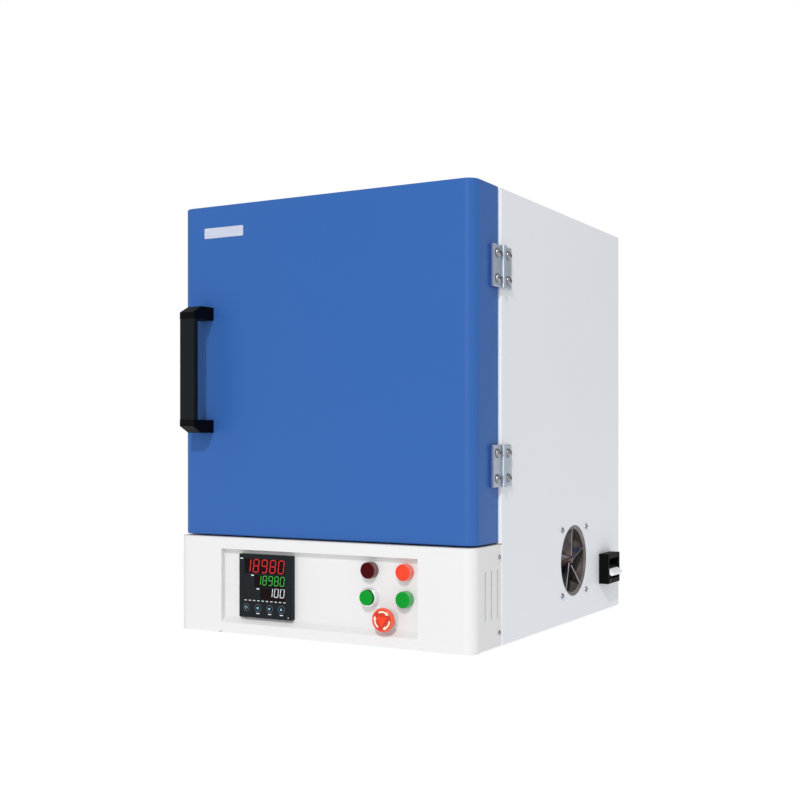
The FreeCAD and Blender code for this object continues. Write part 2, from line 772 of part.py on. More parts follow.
def heating_element(hand):
    """Rod bent into level runs joined by half circles, its two leads leaving through the back board.

    Its section has flats and its bends a few straight steps, which keeps the mesh of so long a rod small.
    """
    heights = rod_heights()
    bend = rod_pitch() / 2
    front = chamber_front + ROD_END_GAP + POCKET_CLEAR + ROD_RADIUS + bend
    rear = chamber_back - ROD_END_GAP - bend
    lead = board_back + casing_wall + TERMINAL_REACH
    x = hand * rod_x()
    route = [V(x, lead, heights[0])]
    for i, z in enumerate(heights[:-1]):
        turn_y, way = (front, -1) if i % 2 == 0 else (rear, 1)
        for step in range(BEND_STEPS + 1):
            a = math.pi * (step / BEND_STEPS - 0.5)
            route.append(V(x, turn_y + way * bend * math.cos(a), z + bend + bend * math.sin(a)))
    route.append(V(x, lead, heights[-1]))
    section = aimed(prism(ROD_SIDES, ROD_RADIUS, 0, 1), route[0], -Y_AXIS).Faces
    start = min(section, key=lambda f: abs(f.CenterOfMass.y - lead)).OuterWire
    return Part.makePolygon(route).makePipeShell([start], True, False, 1)


def element_terminals():
    """Ceramic beads on the four leads behind the casing."""
    start = board_back + casing_wall
    beads = []
    for x, z in lead_places():
        bead = aimed(prism(6, ROD_RADIUS + BEAD_WALL, 0, BEAD_LENGTH), V(x, start, z), Y_AXIS)
        beads.append(bead.cut(clearance_hole(ROD_RADIUS, V(x, start - 1, z), Y_AXIS, BEAD_LENGTH + 2)))
    return Part.makeCompound(beads)


def thermocouple():
    """Closed ceramic tube into the chamber, with its terminal head behind the casing."""
    start = chamber_back - PROBE_REACH
    seat = board_back + casing_wall
    sheath = rod(PROBE_RADIUS, V(0, start, probe_z), Y_AXIS, seat - start + 1)
    sheath = sheath.makeChamfer(PROBE_RADIUS * 0.4, edges_at(sheath, lambda c, e: abs(c.y - start) < 0.1))
    head = aimed(prism(12, PROBE_HEAD, 0, PROBE_HEAD_LENGTH), V(0, seat, probe_z), Y_AXIS)
    return fuse([sheath, head])


def flue_tube():
    """Vent tube from the chamber to the rear, with a collar outside."""
    start = chamber_back
    end = CABINET_DEPTH + FLUE_PROUD
    pipe = rod(FLUE_RADIUS, V(FLUE_X, start, flue_z), Y_AXIS, end - start)
    collar = aimed(prism(12, FLUE_RADIUS + FLUE_COLLAR, 0, PLATE), V(FLUE_X, CABINET_DEPTH, flue_z), Y_AXIS)
    bore = rod(FLUE_BORE, V(FLUE_X, start - 1, flue_z), Y_AXIS, end - start + 2)
    return pipe.fuse(collar).cut(bore)


def cover_block(inset, back):
    """Footprint of the front cover drawn in by an inset, from its foot to its top."""
    block = box(-cover_half + inset, cover_half - inset, -COVER_FRONT + inset, back,
                COVER_BOTTOM, COVER_TOP - inset)
    return block.makeFillet(COVER_CORNER - inset, edges_at(block, lambda c, e: upright(e) and c.y < 0))


def recess_limits(grow):
    """Left, right, bottom and top of the control recess."""
    return (RECESS_X - RECESS_WIDTH / 2 - grow, RECESS_X + RECESS_WIDTH / 2 + grow,
            RECESS_BOTTOM - grow, RECESS_TOP + grow)


def recess_cutter():
    """Pocket with a crisp upper edge and a bevelled lower edge."""
    left, right, low, high = recess_limits(0)
    outline = [(-COVER_FRONT - 1, low - 1), (-COVER_FRONT, low), (recess_floor, low + RECESS_BEVEL),
               (recess_floor, high - 2), (-COVER_FRONT, high), (-COVER_FRONT - 1, high)]
    wire = Part.makePolygon([V(left, y, z) for y, z in outline + outline[:1]])
    pocket = Part.Face(wire).extrude(V(right - left, 0, 0))
    middle = (low + high) / 2
    corners = edges_at(pocket, lambda c, e: abs(c.y - recess_floor) < 0.1 and abs(c.z - middle) > 1)
    return pocket.makeChamfer(RECESS_EDGE, corners)


def front_cover():
    """Moulded cover of the control compartment with recess, side slots and two foot lips."""
    cover = cover_block(0, COVER_LAP)
    rims = edges_at(cover, lambda c, e: c.z > COVER_TOP - 0.1 and c.y < COVER_LAP - 0.1)
    cover = cover.makeChamfer(1.0, rims)
    lip = box(FOOT_LIP_FROM, cover_half, -COVER_FRONT, -COVER_FRONT + COVER_CORNER, 0, COVER_BOTTOM)
    lip = lip.makeFillet(COVER_CORNER - 0.1, edges_at(lip, lambda c, e: upright(e) and c.x > FOOT_LIP_FROM + 1
                                                     and c.y < -COVER_FRONT + 1))
    shell = cover.cut(cover_block(COVER_WALL, COVER_LAP + 1))
    left, right, low, high = recess_limits(COVER_WALL)
    tray = box(left, right, -COVER_FRONT + COVER_WALL / 2, recess_floor + COVER_WALL, low, high)
    shell = fuse([shell, tray, lip, lip.mirror(V(0, 0, 0), X_AXIS)]).cut(recess_cutter())
    screw_holes = [clearance_hole(PAN_SHANK, seat + outward, -outward, COVER_WALL + 2)
                   for seat, outward in cover_screw_seats()]
    return shell.cut(Part.makeCompound(side_slots() + panel_holes() + screw_holes))


def side_slots():
    """Cutters for the upright slots in both sides of the cover, their ends bevelled on both sides."""
    r = SLOT_WIDTH / 2
    outline = [(-r, SLOT_BOTTOM + r), (-r / 2, SLOT_BOTTOM), (r / 2, SLOT_BOTTOM), (r, SLOT_BOTTOM + r),
               (r, SLOT_TOP - r), (r / 2, SLOT_TOP), (-r / 2, SLOT_TOP), (-r, SLOT_TOP - r)]
    cutters = []
    for x in (-cover_half - 1, cover_half - COVER_WALL - 1):
        for i in range(SLOT_COUNT):
            y = SLOT_FIRST + SLOT_PITCH * i
            wire = Part.makePolygon([V(x, y + dy, z) for dy, z in outline + outline[:1]])
            cutters.append(Part.Face(wire).extrude(V(COVER_WALL + 2, 0, 0)))
    return cutters


def lamp_places():
    """Centres of the three lamps: dark, orange and green."""
    return [(LAMP_LEFT, LAMP_HIGH), (LAMP_RIGHT, LAMP_HIGH), (LAMP_RIGHT, LAMP_LOW)]


def panel_holes():
    """Cutters for the controller, lamps, button and stop in the recess floor."""
    start = recess_floor - 1
    depth = COVER_WALL + 2
    half = BODY_SIDE / 2
    holes = [box(BEZEL_X - half, BEZEL_X + half, start, start + depth, BEZEL_Z - half, BEZEL_Z + half)]
    for x, z in lamp_places() + [(LAMP_LEFT, LAMP_LOW), (STOP_X, STOP_Z)]:
        holes.append(rod(BARREL_RADIUS, V(x, start, z), Y_AXIS, depth))
    return holes


def cover_screw_seats():
    """Seat and direction of each screw at the rear edge of the cover, two a side."""
    return [(V(hand * cover_half, COVER_SCREW_Y, z), X_AXIS * hand)
            for hand in (-1, 1) for z in (COVER_SCREW_LOW, COVER_SCREW_HIGH)]


def cover_screws():
    """Small pan screws of the cover."""
    return Part.makeCompound([dome_screw(PAN_HEAD, PAN_HEIGHT, PAN_SHANK, COVER_WALL, seat, outward)
                              for seat, outward in cover_screw_seats()])


def controller_housing():
    """Panel instrument: square bezel outside, slimmer body through the cut-out."""
    half = BEZEL / 2
    front = recess_floor - BEZEL_DEPTH
    bezel = box(BEZEL_X - half, BEZEL_X + half, front, recess_floor, BEZEL_Z - half, BEZEL_Z + half)
    bezel = bezel.makeChamfer(1.2, edges_at(bezel, lambda c, e: c.y < recess_floor - 0.1))
    body_half = BODY_SIDE / 2
    body = box(BEZEL_X - body_half, BEZEL_X + body_half, recess_floor, recess_floor + BODY_DEPTH,
               BEZEL_Z - body_half, BEZEL_Z + body_half)
    shell = bezel.fuse(body)
    for x0, x1, z0, z1 in window_limits():
        shell = shell.cut(box(x0, x1, front - 1, front + WINDOW_DEPTH, z0, z1))
    for x, z in key_places():
        shell = shell.cut(rod(KEY_RADIUS + RUNNING_FIT, V(x, front - 1, z), Y_AXIS, KEY_DEPTH + 2))
    return shell


def window_limits():
    """Left, right, bottom and top of the three display windows, largest first."""
    left = BEZEL_X - BEZEL / 2
    top = BEZEL_Z + BEZEL / 2
    return [(left + start, left + WINDOW_RIGHT, top - low, top - high)
            for start, high, low in zip(WINDOW_LEFTS, WINDOW_TOPS, WINDOW_BOTTOMS)]


def display_windows():
    """Three smoked panes let into the bezel."""
    front = recess_floor - BEZEL_DEPTH
    return Part.makeCompound([box(x0, x1, front + WINDOW_INSET, front + WINDOW_DEPTH, z0, z1)
                              for x0, x1, z0, z1 in window_limits()])


def key_places():
    """Centres of the four round keys below the displays."""
    z = BEZEL_Z + BEZEL / 2 - KEY_DROP
    return [(BEZEL_X - BEZEL / 2 + KEY_FIRST + KEY_PITCH * i, z) for i in range(4)]


def key(place):
    """Round key, proud of the bezel by its travel and a little more."""
    x, z = place
    front = recess_floor - BEZEL_DEPTH - KEY_TRAVEL - KEY_PROUD
    return rod(KEY_RADIUS, V(x, front, z), Y_AXIS, KEY_DEPTH + KEY_PROUD)


def lamp_lens(place):
    """Round lens with a bevelled rim, its foot on the panel."""
    x, z = place
    profile = [(0, 0), (LAMP_RADIUS, 0), (LAMP_RADIUS, LAMP_PROUD - LAMP_EDGE),
               (LAMP_RADIUS - LAMP_EDGE, LAMP_PROUD), (0, LAMP_PROUD)]
    return turned(profile, V(x, recess_floor, z), -Y_AXIS)


def barrel(place, length):
    """Neck through the panel with its nut and contact block behind."""
    x, z = place
    behind = recess_floor + COVER_WALL
    neck = aimed(prism(12, BARREL_RADIUS, 0, COVER_WALL + NUT_HEIGHT), V(x, recess_floor, z), Y_AXIS)
    nut = aimed(prism(6, BARREL_RADIUS + NUT_WALL, 0, NUT_HEIGHT), V(x, behind, z), Y_AXIS)
    block = box(x - CONTACT_SIDE / 2, x + CONTACT_SIDE / 2, behind + NUT_HEIGHT, behind + length,
                z - CONTACT_SIDE / 2, z + CONTACT_SIDE / 2)
    return fuse([neck, nut, block])


def switch_bodies():
    """Bodies of the lamps, the start button and the stop behind the panel."""
    solids = [barrel(place, BARREL_LENGTH) for place in lamp_places() + [(LAMP_LEFT, LAMP_LOW)]]
    guide = rod(STOP_STEM + RUNNING_FIT, V(STOP_X, recess_floor, STOP_Z), Y_AXIS,
                STOP_STEM_BACK + STOP_TRAVEL + 1)
    solids.append(barrel((STOP_X, STOP_Z), BARREL_LENGTH).cut(guide))
    return Part.makeCompound(solids)


def start_ring():
    """Bezel ring of the start button."""
    bore = CAP_RADIUS + RUNNING_FIT
    profile = [(bore, 0), (RING_RADIUS, 0), (RING_RADIUS, RING_HEIGHT - RING_EDGE),
               (RING_RADIUS - RING_EDGE, RING_HEIGHT), (bore, RING_HEIGHT)]
    return turned(profile, V(LAMP_LEFT, recess_floor, LAMP_LOW), -Y_AXIS)


def start_cap():
    """Moving cap of the start button."""
    seat = CAP_TRAVEL + CAP_CLEAR
    top = RING_HEIGHT + CAP_PROUD
    profile = [(0, seat), (CAP_RADIUS, seat), (CAP_RADIUS, top - CAP_EDGE), (CAP_RADIUS - CAP_EDGE, top),
               (0, top)]
    return turned(profile, V(LAMP_LEFT, recess_floor, LAMP_LOW), -Y_AXIS)


def stop_collar():
    """Fixed twelve-sided collar of the emergency stop, with the bore for its stem."""
    seat = V(STOP_X, recess_floor, STOP_Z)
    collar = aimed(prism(12, STOP_COLLAR, 0, STOP_COLLAR_HEIGHT), seat, -Y_AXIS)
    return collar.cut(rod(STOP_STEM + RUNNING_FIT, seat + Y_AXIS, -Y_AXIS, STOP_COLLAR_HEIGHT + 2))


def stop_stem():
    """Sliding stem of the emergency stop with the nose that the head turns on."""
    shoulder = STOP_PROUD - STOP_HEAD_DEPTH - STOP_CLEAR
    tip = STOP_PROUD - STOP_CAP - STOP_CLEAR
    profile = [(0, -STOP_STEM_BACK), (STOP_STEM, -STOP_STEM_BACK), (STOP_STEM, shoulder),
               (STOP_NOSE, shoulder), (STOP_NOSE, tip), (0, tip)]
    return turned(profile, V(STOP_X, recess_floor, STOP_Z), -Y_AXIS)


def stop_head():
    """Mushroom head, low in the crown, with a raised three-cornered centre."""
    r = STOP_HEAD_RADIUS
    back = STOP_PROUD - STOP_HEAD_DEPTH
    top = STOP_PROUD - STOP_BOSS_HEIGHT / 2
    bore = STOP_NOSE + RUNNING_FIT
    floor = STOP_PROUD - STOP_CAP
    profile = [(bore, back), (r, back), (r, top - STOP_CROWN), (r - STOP_CROWN, top), (0, top), (0, floor),
               (bore, floor)]
    head = turned(profile, V(STOP_X, recess_floor, STOP_Z), -Y_AXIS)
    turn = FreeCAD.Rotation(Y_AXIS, 30)
    boss = aimed(prism(3, STOP_BOSS, top - 0.1, STOP_PROUD + 0.1), V(0, 0, 0), -Y_AXIS)
    boss.Placement = FreeCAD.Placement(V(STOP_X, recess_floor, STOP_Z), turn).multiply(boss.Placement)
    return fuse([head, boss])


def fan_holes():
    """Centres of the four fan screws."""
    half = FAN_SIDE / 2 - FAN_LUG
    return [(fan_y + s * half, fan_z + t * half) for s in (-1, 1) for t in (-1, 1)]


def fan_frame():
    """Square axial fan body round its bore, with the motor on four spokes and the motor's shaft."""
    half = FAN_SIDE / 2
    centre = V(fan_back, fan_y, fan_z)
    block = box(fan_back, inner, fan_y - half, fan_y + half, fan_z - half, fan_z + half)
    corners = edges_at(block, lambda c, e: abs(c.y - fan_y) > half - 1 and abs(c.z - fan_z) > half - 1)
    block = block.makeChamfer(FAN_CORNER / 2, corners)
    block = block.cut(rod(fan_bore, centre - X_AXIS, X_AXIS, FAN_DEPTH + 2))
    for y, z in fan_holes():
        block = block.cut(clearance_hole(FAN_SCREW, V(fan_back - 1, y, z), X_AXIS, FAN_DEPTH + 2))
    motor = rod(MOTOR_RADIUS, centre, X_AXIS, MOTOR_LENGTH)
    parts = [block, motor, rod(MOTOR_SHAFT, centre, X_AXIS, SHAFT_LENGTH)]
    for i in range(4):
        spoke = box(fan_back, fan_back + SPOKE_THICKNESS, fan_y - SPOKE_WIDTH / 2, fan_y + SPOKE_WIDTH / 2,
                    fan_z + MOTOR_RADIUS / 2, fan_z + fan_bore + FAN_RIM)
        spoke.rotate(centre, X_AXIS, 45 + 90 * i)
        parts.append(spoke)
    return fuse(parts)


def fan_impeller():
    """Hub with cambered sheet blades set at a pitch."""
    start = fan_back + MOTOR_LENGTH + HUB_GAP
    parts = [rod(HUB_RADIUS, V(start, fan_y, fan_z), X_AXIS, HUB_LENGTH)]
    centre = V(start + HUB_LENGTH / 2, fan_y, fan_z)
    root = HUB_RADIUS - 2
    for i in range(BLADES):
        blade = blade_section(centre + Z_AXIS * root).extrude(Z_AXIS * (fan_bore - BLADE_CLEAR - root))
        blade.rotate(centre, X_AXIS, 360 / BLADES * i + 90)
        parts.append(blade)
    bore = rod(MOTOR_SHAFT + RUNNING_FIT, V(start - 1, fan_y, fan_z), X_AXIS, HUB_LENGTH - 1)
    return fuse(parts).cut(bore)


def blade_section(spot):
    """Section of a blade, looking along it: a thin arc turned by its pitch about a spot."""
    half = BLADE_CHORD / 2
    thick = BLADE_THICKNESS
    back = Part.Arc(V(-half, 0, 0), V(0, BLADE_CAMBER, 0), V(half, 0, 0))
    face = Part.Arc(V(half, thick, 0), V(0, BLADE_CAMBER + thick, 0), V(-half, thick, 0))
    lead = Part.LineSegment(V(half, 0, 0), V(half, thick, 0))
    trail = Part.LineSegment(V(-half, thick, 0), V(-half, 0, 0))
    section = Part.Face(Part.Wire([edge.toShape() for edge in (back, lead, face, trail)]))
    section.rotate(V(0, 0, 0), Z_AXIS, BLADE_PITCH)
    section.translate(spot)
    return section


def fan_screws():
    """Four dome screws through the side panel into the fan's lugs."""
    seats = [V(side, y, z) for y, z in fan_holes()]
    return Part.makeCompound([dome_screw(FAN_SCREW_HEAD, FAN_SCREW, FAN_SCREW, FAN_DEPTH, seat, X_AXIS)
                              for seat in seats])


def breaker_housing():
    """Surface box of the circuit breaker with the window for its linked lever."""
    y0 = breaker_y - BREAKER_WIDTH / 2
    z0 = BREAKER_Z - BREAKER_HEIGHT / 2
    block = box(side, side + BREAKER_PROUD, y0, y0 + BREAKER_WIDTH, z0, z0 + BREAKER_HEIGHT)
    block = block.makeChamfer(0.8, edges_at(block, lambda c, e: c.x > side + 0.1))
    half = LEVER_WIDTH / 2 + LEVER_CLEAR
    window = box(side + BREAKER_FLOOR, side + BREAKER_PROUD + 1, breaker_y - half, breaker_y + half,
                 BREAKER_Z - LEVER_WINDOW, BREAKER_Z + LEVER_WINDOW)
    block = block.cut(window)
    pivots = [rod(PIVOT_RADIUS, V(pivot_x, breaker_y + s * half, BREAKER_Z), -Y_AXIS * s, PIVOT_LENGTH)
              for s in (-1, 1)]
    floor = V(side + BREAKER_PROUD - TEST_DEPTH, *test_place())
    button = rod(TEST_RADIUS + RUNNING_FIT, floor, X_AXIS, TEST_DEPTH + 1)
    return block.cut(button).multiFuse(pivots)


def breaker_lever():
    """Lever that links the breaker's poles, hanging down in its off position."""
    half = LEVER_WIDTH / 2
    end = V(pivot_x, breaker_y - half, BREAKER_Z)
    tip = pivot_x + LEVER_LENGTH
    paddle = box(pivot_x, tip, breaker_y - half, breaker_y + half,
                 BREAKER_Z - LEVER_THICKNESS / 2, BREAKER_Z + LEVER_THICKNESS / 2)
    bar = paddle.makeFillet(LEVER_EDGE, edges_at(paddle, lambda c, e: c.x > tip - 0.1))
    bar.rotate(end, Y_AXIS, -LEVER_REST)
    lever = fuse([rod(LEVER_DRUM, end, Y_AXIS, LEVER_WIDTH), bar])
    return lever.cut(rod(PIVOT_RADIUS + RUNNING_FIT, end - Y_AXIS, Y_AXIS, LEVER_WIDTH + 2))


def test_place():
    """Centre of the test button on the breaker's face (Y, Z)."""
    return breaker_y - BREAKER_WIDTH / 2 + TEST_FROM_EDGE, BREAKER_Z - BREAKER_HEIGHT / 2 + TEST_FROM_FOOT


def test_button():
    """Small round button at the lower corner of the breaker."""
    start = side + BREAKER_PROUD - TEST_DEPTH + TEST_TRAVEL
    return rod(TEST_RADIUS, V(start, *test_place()), X_AXIS, TEST_DEPTH - TEST_TRAVEL + TEST_PROUD)


def power_relay():
    """Solid-state relay on its heatsink."""
    z = deck_top + SINK_HEIGHT
    y = CABINET_DEPTH - SINK_FROM_REAR - SINK_DEPTH / 2
    half = RELAY_SIDE / 2
    return box(SINK_X - half, SINK_X + half, y - half, y + half, z, z + RELAY_HEIGHT)


def heatsink():
    """Finned aluminium block under the relay."""
    rear = CABINET_DEPTH - SINK_FROM_REAR
    left = SINK_X - SINK_WIDTH / 2
    top = deck_top + SINK_HEIGHT
    base = box(left, left + SINK_WIDTH, rear - SINK_DEPTH, rear, top - SINK_BASE, top)
    pitch = (SINK_WIDTH - SINK_FIN) / (SINK_FINS - 1)
    starts = [left + pitch * i for i in range(SINK_FINS)]
    fins = [box(x, x + SINK_FIN, rear - SINK_DEPTH, rear, deck_top, top - SINK_BASE + 1) for x in starts]
    return fuse([base] + fins)


def terminal_block():
    """Row of screw terminals near the gland."""
    rear = CABINET_DEPTH - BLOCK_FROM_REAR
    front = rear - BLOCK_DEPTH
    left = GLAND_X - BLOCK_PITCH * BLOCK_WAYS / 2
    top = deck_top + BLOCK_HEIGHT
    block = box(left, left + BLOCK_PITCH * BLOCK_WAYS, front, rear, deck_top, top)
    for i in range(BLOCK_WAYS):
        x = left + BLOCK_PITCH * i + BLOCK_WEB / 2
        for y0, y1 in ((front - 1, front + BLOCK_NOTCH), (rear - BLOCK_NOTCH, rear + 1)):
            block = block.cut(box(x, x + BLOCK_PITCH - BLOCK_WEB, y0, y1, deck_top + BLOCK_STEP, top + 1))
    return block


def cable_gland():
    """Cable gland through the rear sheet, its bore open for a lead."""
    outside = V(GLAND_X, CABINET_DEPTH, GLAND_Z)
    nut = aimed(prism(6, GLAND_NUT, 0, GLAND_NUT_HEIGHT), outside, Y_AXIS)
    dome = aimed(prism(12, GLAND_DOME, 0, GLAND_LENGTH), outside, Y_AXIS)
    thread = rod(GLAND_BORE + GLAND_WALL, outside, -Y_AXIS, GLAND_THREAD)
    lock = aimed(prism(6, GLAND_NUT - 1, 0, 4), V(GLAND_X, rear_inside, GLAND_Z), -Y_AXIS)
    bore = rod(GLAND_BORE, outside - Y_AXIS * (GLAND_THREAD + 1), Y_AXIS, GLAND_THREAD + GLAND_LENGTH + 2)
    return fuse([nut, dome, thread, lock]).cut(bore)


def build():
    """Every node by name."""
    nodes = {
        "door_shell": door_shell(),
        "door_inner_plate": door_inner_plate(),
        "door_insulation": door_insulation(),
        "door_plug": door_plug(),
        "door_gasket": door_gasket(),
        "handle_brackets": handle_brackets(),
        "handle_grip": handle_grip(),
        "nameplate": nameplate(),
        "hinge_packings": Part.makeCompound([hinge_packing(hinge_high), hinge_packing(hinge_low)]),
        "door_screws": Part.makeCompound([hinge_screws(-1), handle_screws()]),
        "hinge_screws_cabinet": hinge_screws(1),
        "left_side_panel": side_panel(-1),
        "right_side_panel": side_panel(1),
        "top_panel": top_panel(),
        "front_frame": front_frame(),
        "rear_cover": rear_cover(),
        "base_pan": base_pan(),
        "feet": feet(),
        "shelf": shelf(),
        "casing_rails": casing_rails(),
        "inner_casing": inner_casing(),
        "throat_collar": throat_collar(),
        "roof_board": level_board(1),
        "floor_board": level_board(-1),
        "left_board": side_board(-1),
        "right_board": side_board(1),
        "back_board": back_board(),
        "hearth_plate": hearth_plate(),
        "heating_elements": Part.makeCompound([heating_element(-1), heating_element(1)]),
        "element_terminals": element_terminals(),
        "thermocouple": thermocouple(),
        "flue_tube": flue_tube(),
        "front_cover": front_cover(),
        "panel_screws": Part.makeCompound([cover_screws(), rear_screws()]),
        "controller_housing": controller_housing(),
        "display_windows": display_windows(),
        "switch_bodies": switch_bodies(),
        "start_ring": start_ring(),
        "start_cap": start_cap(),
        "stop_collar": stop_collar(),
        "stop_stem": stop_stem(),
        "stop_head": stop_head(),
        "fan_frame": fan_frame(),
        "fan_impeller": fan_impeller(),
        "fan_screws": fan_screws(),
        "breaker_housing": breaker_housing(),
        "breaker_lever": breaker_lever(),
        "test_button": test_button(),
        "electrics": Part.makeCompound([power_relay(), heatsink(), terminal_block()]),
        "cable_gland": cable_gland(),
    }
    for name, toward in (("door", -1), ("cabinet", 1)):
        leaves = [hinge_leaf(centre, toward) for centre in (hinge_low, hinge_high)]
        nodes["hinge_leaves_" + name] = Part.makeCompound(leaves)
    nodes["hinge_pins"] = Part.makeCompound([hinge_pin(hinge_high), hinge_pin(hinge_low)])
    for name, place in zip(("dark", "orange", "green"), lamp_places()):
        nodes["lamp_lens_" + name] = lamp_lens(place)
    for name, place in zip(("menu", "left", "down", "up"), key_places()):
        nodes["key_" + name] = key(place)
    return nodes


def footprint_centre(nodes):
    """Translation that puts the origin under the centre of the whole furnace."""
    bounds = FreeCAD.BoundBox()
    for shape in nodes.values():
        bounds.add(shape.optimalBoundingBox(False))
    return V(-bounds.Center.x, -bounds.Center.y, -bounds.ZMin)


os.makedirs("parts", exist_ok=True)
nodes = build()
to_origin = footprint_centre(nodes)
for name, shape in nodes.items():
    shape.translate(to_origin)
    shape.exportStep("parts/" + name + ".step")
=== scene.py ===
"""Bench-top muffle furnace: blue door, white cabinet, control panel under the chamber."""
import bpy
import json
import math
from mathutils import Matrix, Vector

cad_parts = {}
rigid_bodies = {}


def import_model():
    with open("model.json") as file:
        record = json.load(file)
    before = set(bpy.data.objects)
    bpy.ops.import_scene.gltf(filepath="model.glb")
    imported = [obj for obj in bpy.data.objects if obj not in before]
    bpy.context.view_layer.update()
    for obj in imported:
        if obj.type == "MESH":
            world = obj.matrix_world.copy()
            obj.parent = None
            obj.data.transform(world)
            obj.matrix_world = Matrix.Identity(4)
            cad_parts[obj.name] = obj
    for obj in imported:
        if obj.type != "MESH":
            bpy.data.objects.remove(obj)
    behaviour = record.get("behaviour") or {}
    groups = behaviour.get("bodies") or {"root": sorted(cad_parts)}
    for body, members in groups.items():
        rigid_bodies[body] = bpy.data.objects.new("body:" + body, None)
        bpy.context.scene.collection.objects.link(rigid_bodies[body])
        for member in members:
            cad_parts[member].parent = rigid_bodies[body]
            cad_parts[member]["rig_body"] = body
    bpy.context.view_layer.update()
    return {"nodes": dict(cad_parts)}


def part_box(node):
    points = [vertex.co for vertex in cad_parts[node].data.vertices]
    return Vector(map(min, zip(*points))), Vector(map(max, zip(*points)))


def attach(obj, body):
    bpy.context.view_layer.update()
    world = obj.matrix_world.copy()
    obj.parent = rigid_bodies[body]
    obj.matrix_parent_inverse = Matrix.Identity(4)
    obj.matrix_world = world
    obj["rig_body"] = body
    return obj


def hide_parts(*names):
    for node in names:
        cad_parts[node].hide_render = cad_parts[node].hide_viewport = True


for leftover in list(bpy.data.objects):
    bpy.data.objects.remove(leftover)
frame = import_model()
MM = 0.001

# Where things are
# The cabinet's front plane lies a door gap behind the door pan, and its centre plane halves the pan.
# Places in every section are worked out from these two planes and the bench.
DOOR_GAP = 2.7 * MM
door_low, door_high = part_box("door_shell")
centre_x = (door_low.x + door_high.x) / 2
front_y = door_high.y + DOOR_GAP

# Camera
# A level view camera to the operator's right of the door, with a raised frame and a moderate tele lens.
CAMERA_RIGHT = 0.9883
CAMERA_FORWARD = 1.601
CAMERA_HEIGHT = 0.2976
CAMERA_TURN = math.radians(29.23)
CAMERA_LENS = 55.4
CAMERA_RISE = 0.0479
bpy.ops.object.camera_add(location=(centre_x + CAMERA_RIGHT, front_y - CAMERA_FORWARD, CAMERA_HEIGHT),
                          rotation=(math.pi / 2, 0, CAMERA_TURN))
camera = bpy.context.object
camera.data.sensor_width = 36
camera.data.lens = CAMERA_LENS
camera.data.shift_y = CAMERA_RISE
bpy.context.scene.camera = camera
bpy.context.scene.view_settings.view_transform = "Standard"

# Floor and light
# A white studio: a glowing floor sheet, an even surround, one sun from the front, upper right, and a
# tall strip light to the right of the camera that draws a soft line down the door's rounded edge.
# The camera sees the surround as pure white, while the object gets a softer share of it.
FLOOR_SIZE = 40.0
FLOOR_GLOW = 0.78
SUN_DIRECTION = Vector((0.35, -1.0, 0.78))
SUN_STRENGTH = 1.36
SUN_SPREAD = math.radians(2)
STRIP_PLACE = Vector((0.78, -2.9, 0.5))
STRIP_WIDTH = 0.9
STRIP_HEIGHT = 2.5
STRIP_POWER = 20.0
SURROUND_LIGHT = 0.57
SURROUND_SEEN = 1.0
bpy.ops.mesh.primitive_plane_add(size=FLOOR_SIZE)
floor = bpy.context.object
floor.name = "floor"
floor_paper = bpy.data.materials.new("floor_paper")
floor_paper.use_nodes = True
paper = floor_paper.node_tree.nodes["Principled BSDF"].inputs
paper["Base Color"].default_value = (0.25, 0.25, 0.25, 1)
paper["Roughness"].default_value = 0.9
paper["Emission Color"].default_value = (1, 1, 1, 1)
paper["Emission Strength"].default_value = FLOOR_GLOW
floor.data.materials.append(floor_paper)
bpy.ops.object.light_add(type="SUN")
sun = bpy.context.object
sun.rotation_euler = SUN_DIRECTION.to_track_quat("Z", "Y").to_euler()
sun.data.energy = SUN_STRENGTH
sun.data.angle = SUN_SPREAD
bpy.ops.object.light_add(type="AREA", location=STRIP_PLACE)
strip_light = bpy.context.object
strip_light.rotation_euler = STRIP_PLACE.to_track_quat("Z", "Y").to_euler()
strip_light.data.shape = "RECTANGLE"
strip_light.data.size = STRIP_WIDTH
strip_light.data.size_y = STRIP_HEIGHT
strip_light.data.energy = STRIP_POWER
world = bpy.data.worlds.new("studio")
bpy.context.scene.world = world
world.use_nodes = True
surround = world.node_tree.nodes["Background"]
surround.inputs["Color"].default_value = (1, 1, 1, 1)
sight = world.node_tree.nodes.new("ShaderNodeLightPath")
strength = world.node_tree.nodes.new("ShaderNodeMapRange")
strength.inputs["To Min"].default_value = SURROUND_LIGHT
strength.inputs["To Max"].default_value = SURROUND_SEEN
world.node_tree.links.new(sight.outputs["Is Camera Ray"], strength.inputs["Value"])
world.node_tree.links.new(strength.outputs["Result"], surround.inputs["Strength"])


# Cabinet sheets
# Side and top sheets, front frame and rear cover of thin folded steel, powder coated in a cool white.
# The coat is smooth with a faint orange peel; its colour drifts by a percent or so over the panel.
class Wire:
    """Output of a node; arithmetic on it adds Math nodes to the same finish."""

    def __init__(self, finish, socket):
        self.finish = finish
        self.socket = socket

    def maths(self, operation, first, second):
        return self.finish.node("ShaderNodeMath", {"operation": operation}, {0: first, 1: second})

    def __radd__(self, other):
        return self.maths("ADD", other, self)

    def __sub__(self, other):
        return self.maths("SUBTRACT", self, other)

    def __rmul__(self, other):
        return self.maths("MULTIPLY", other, self)


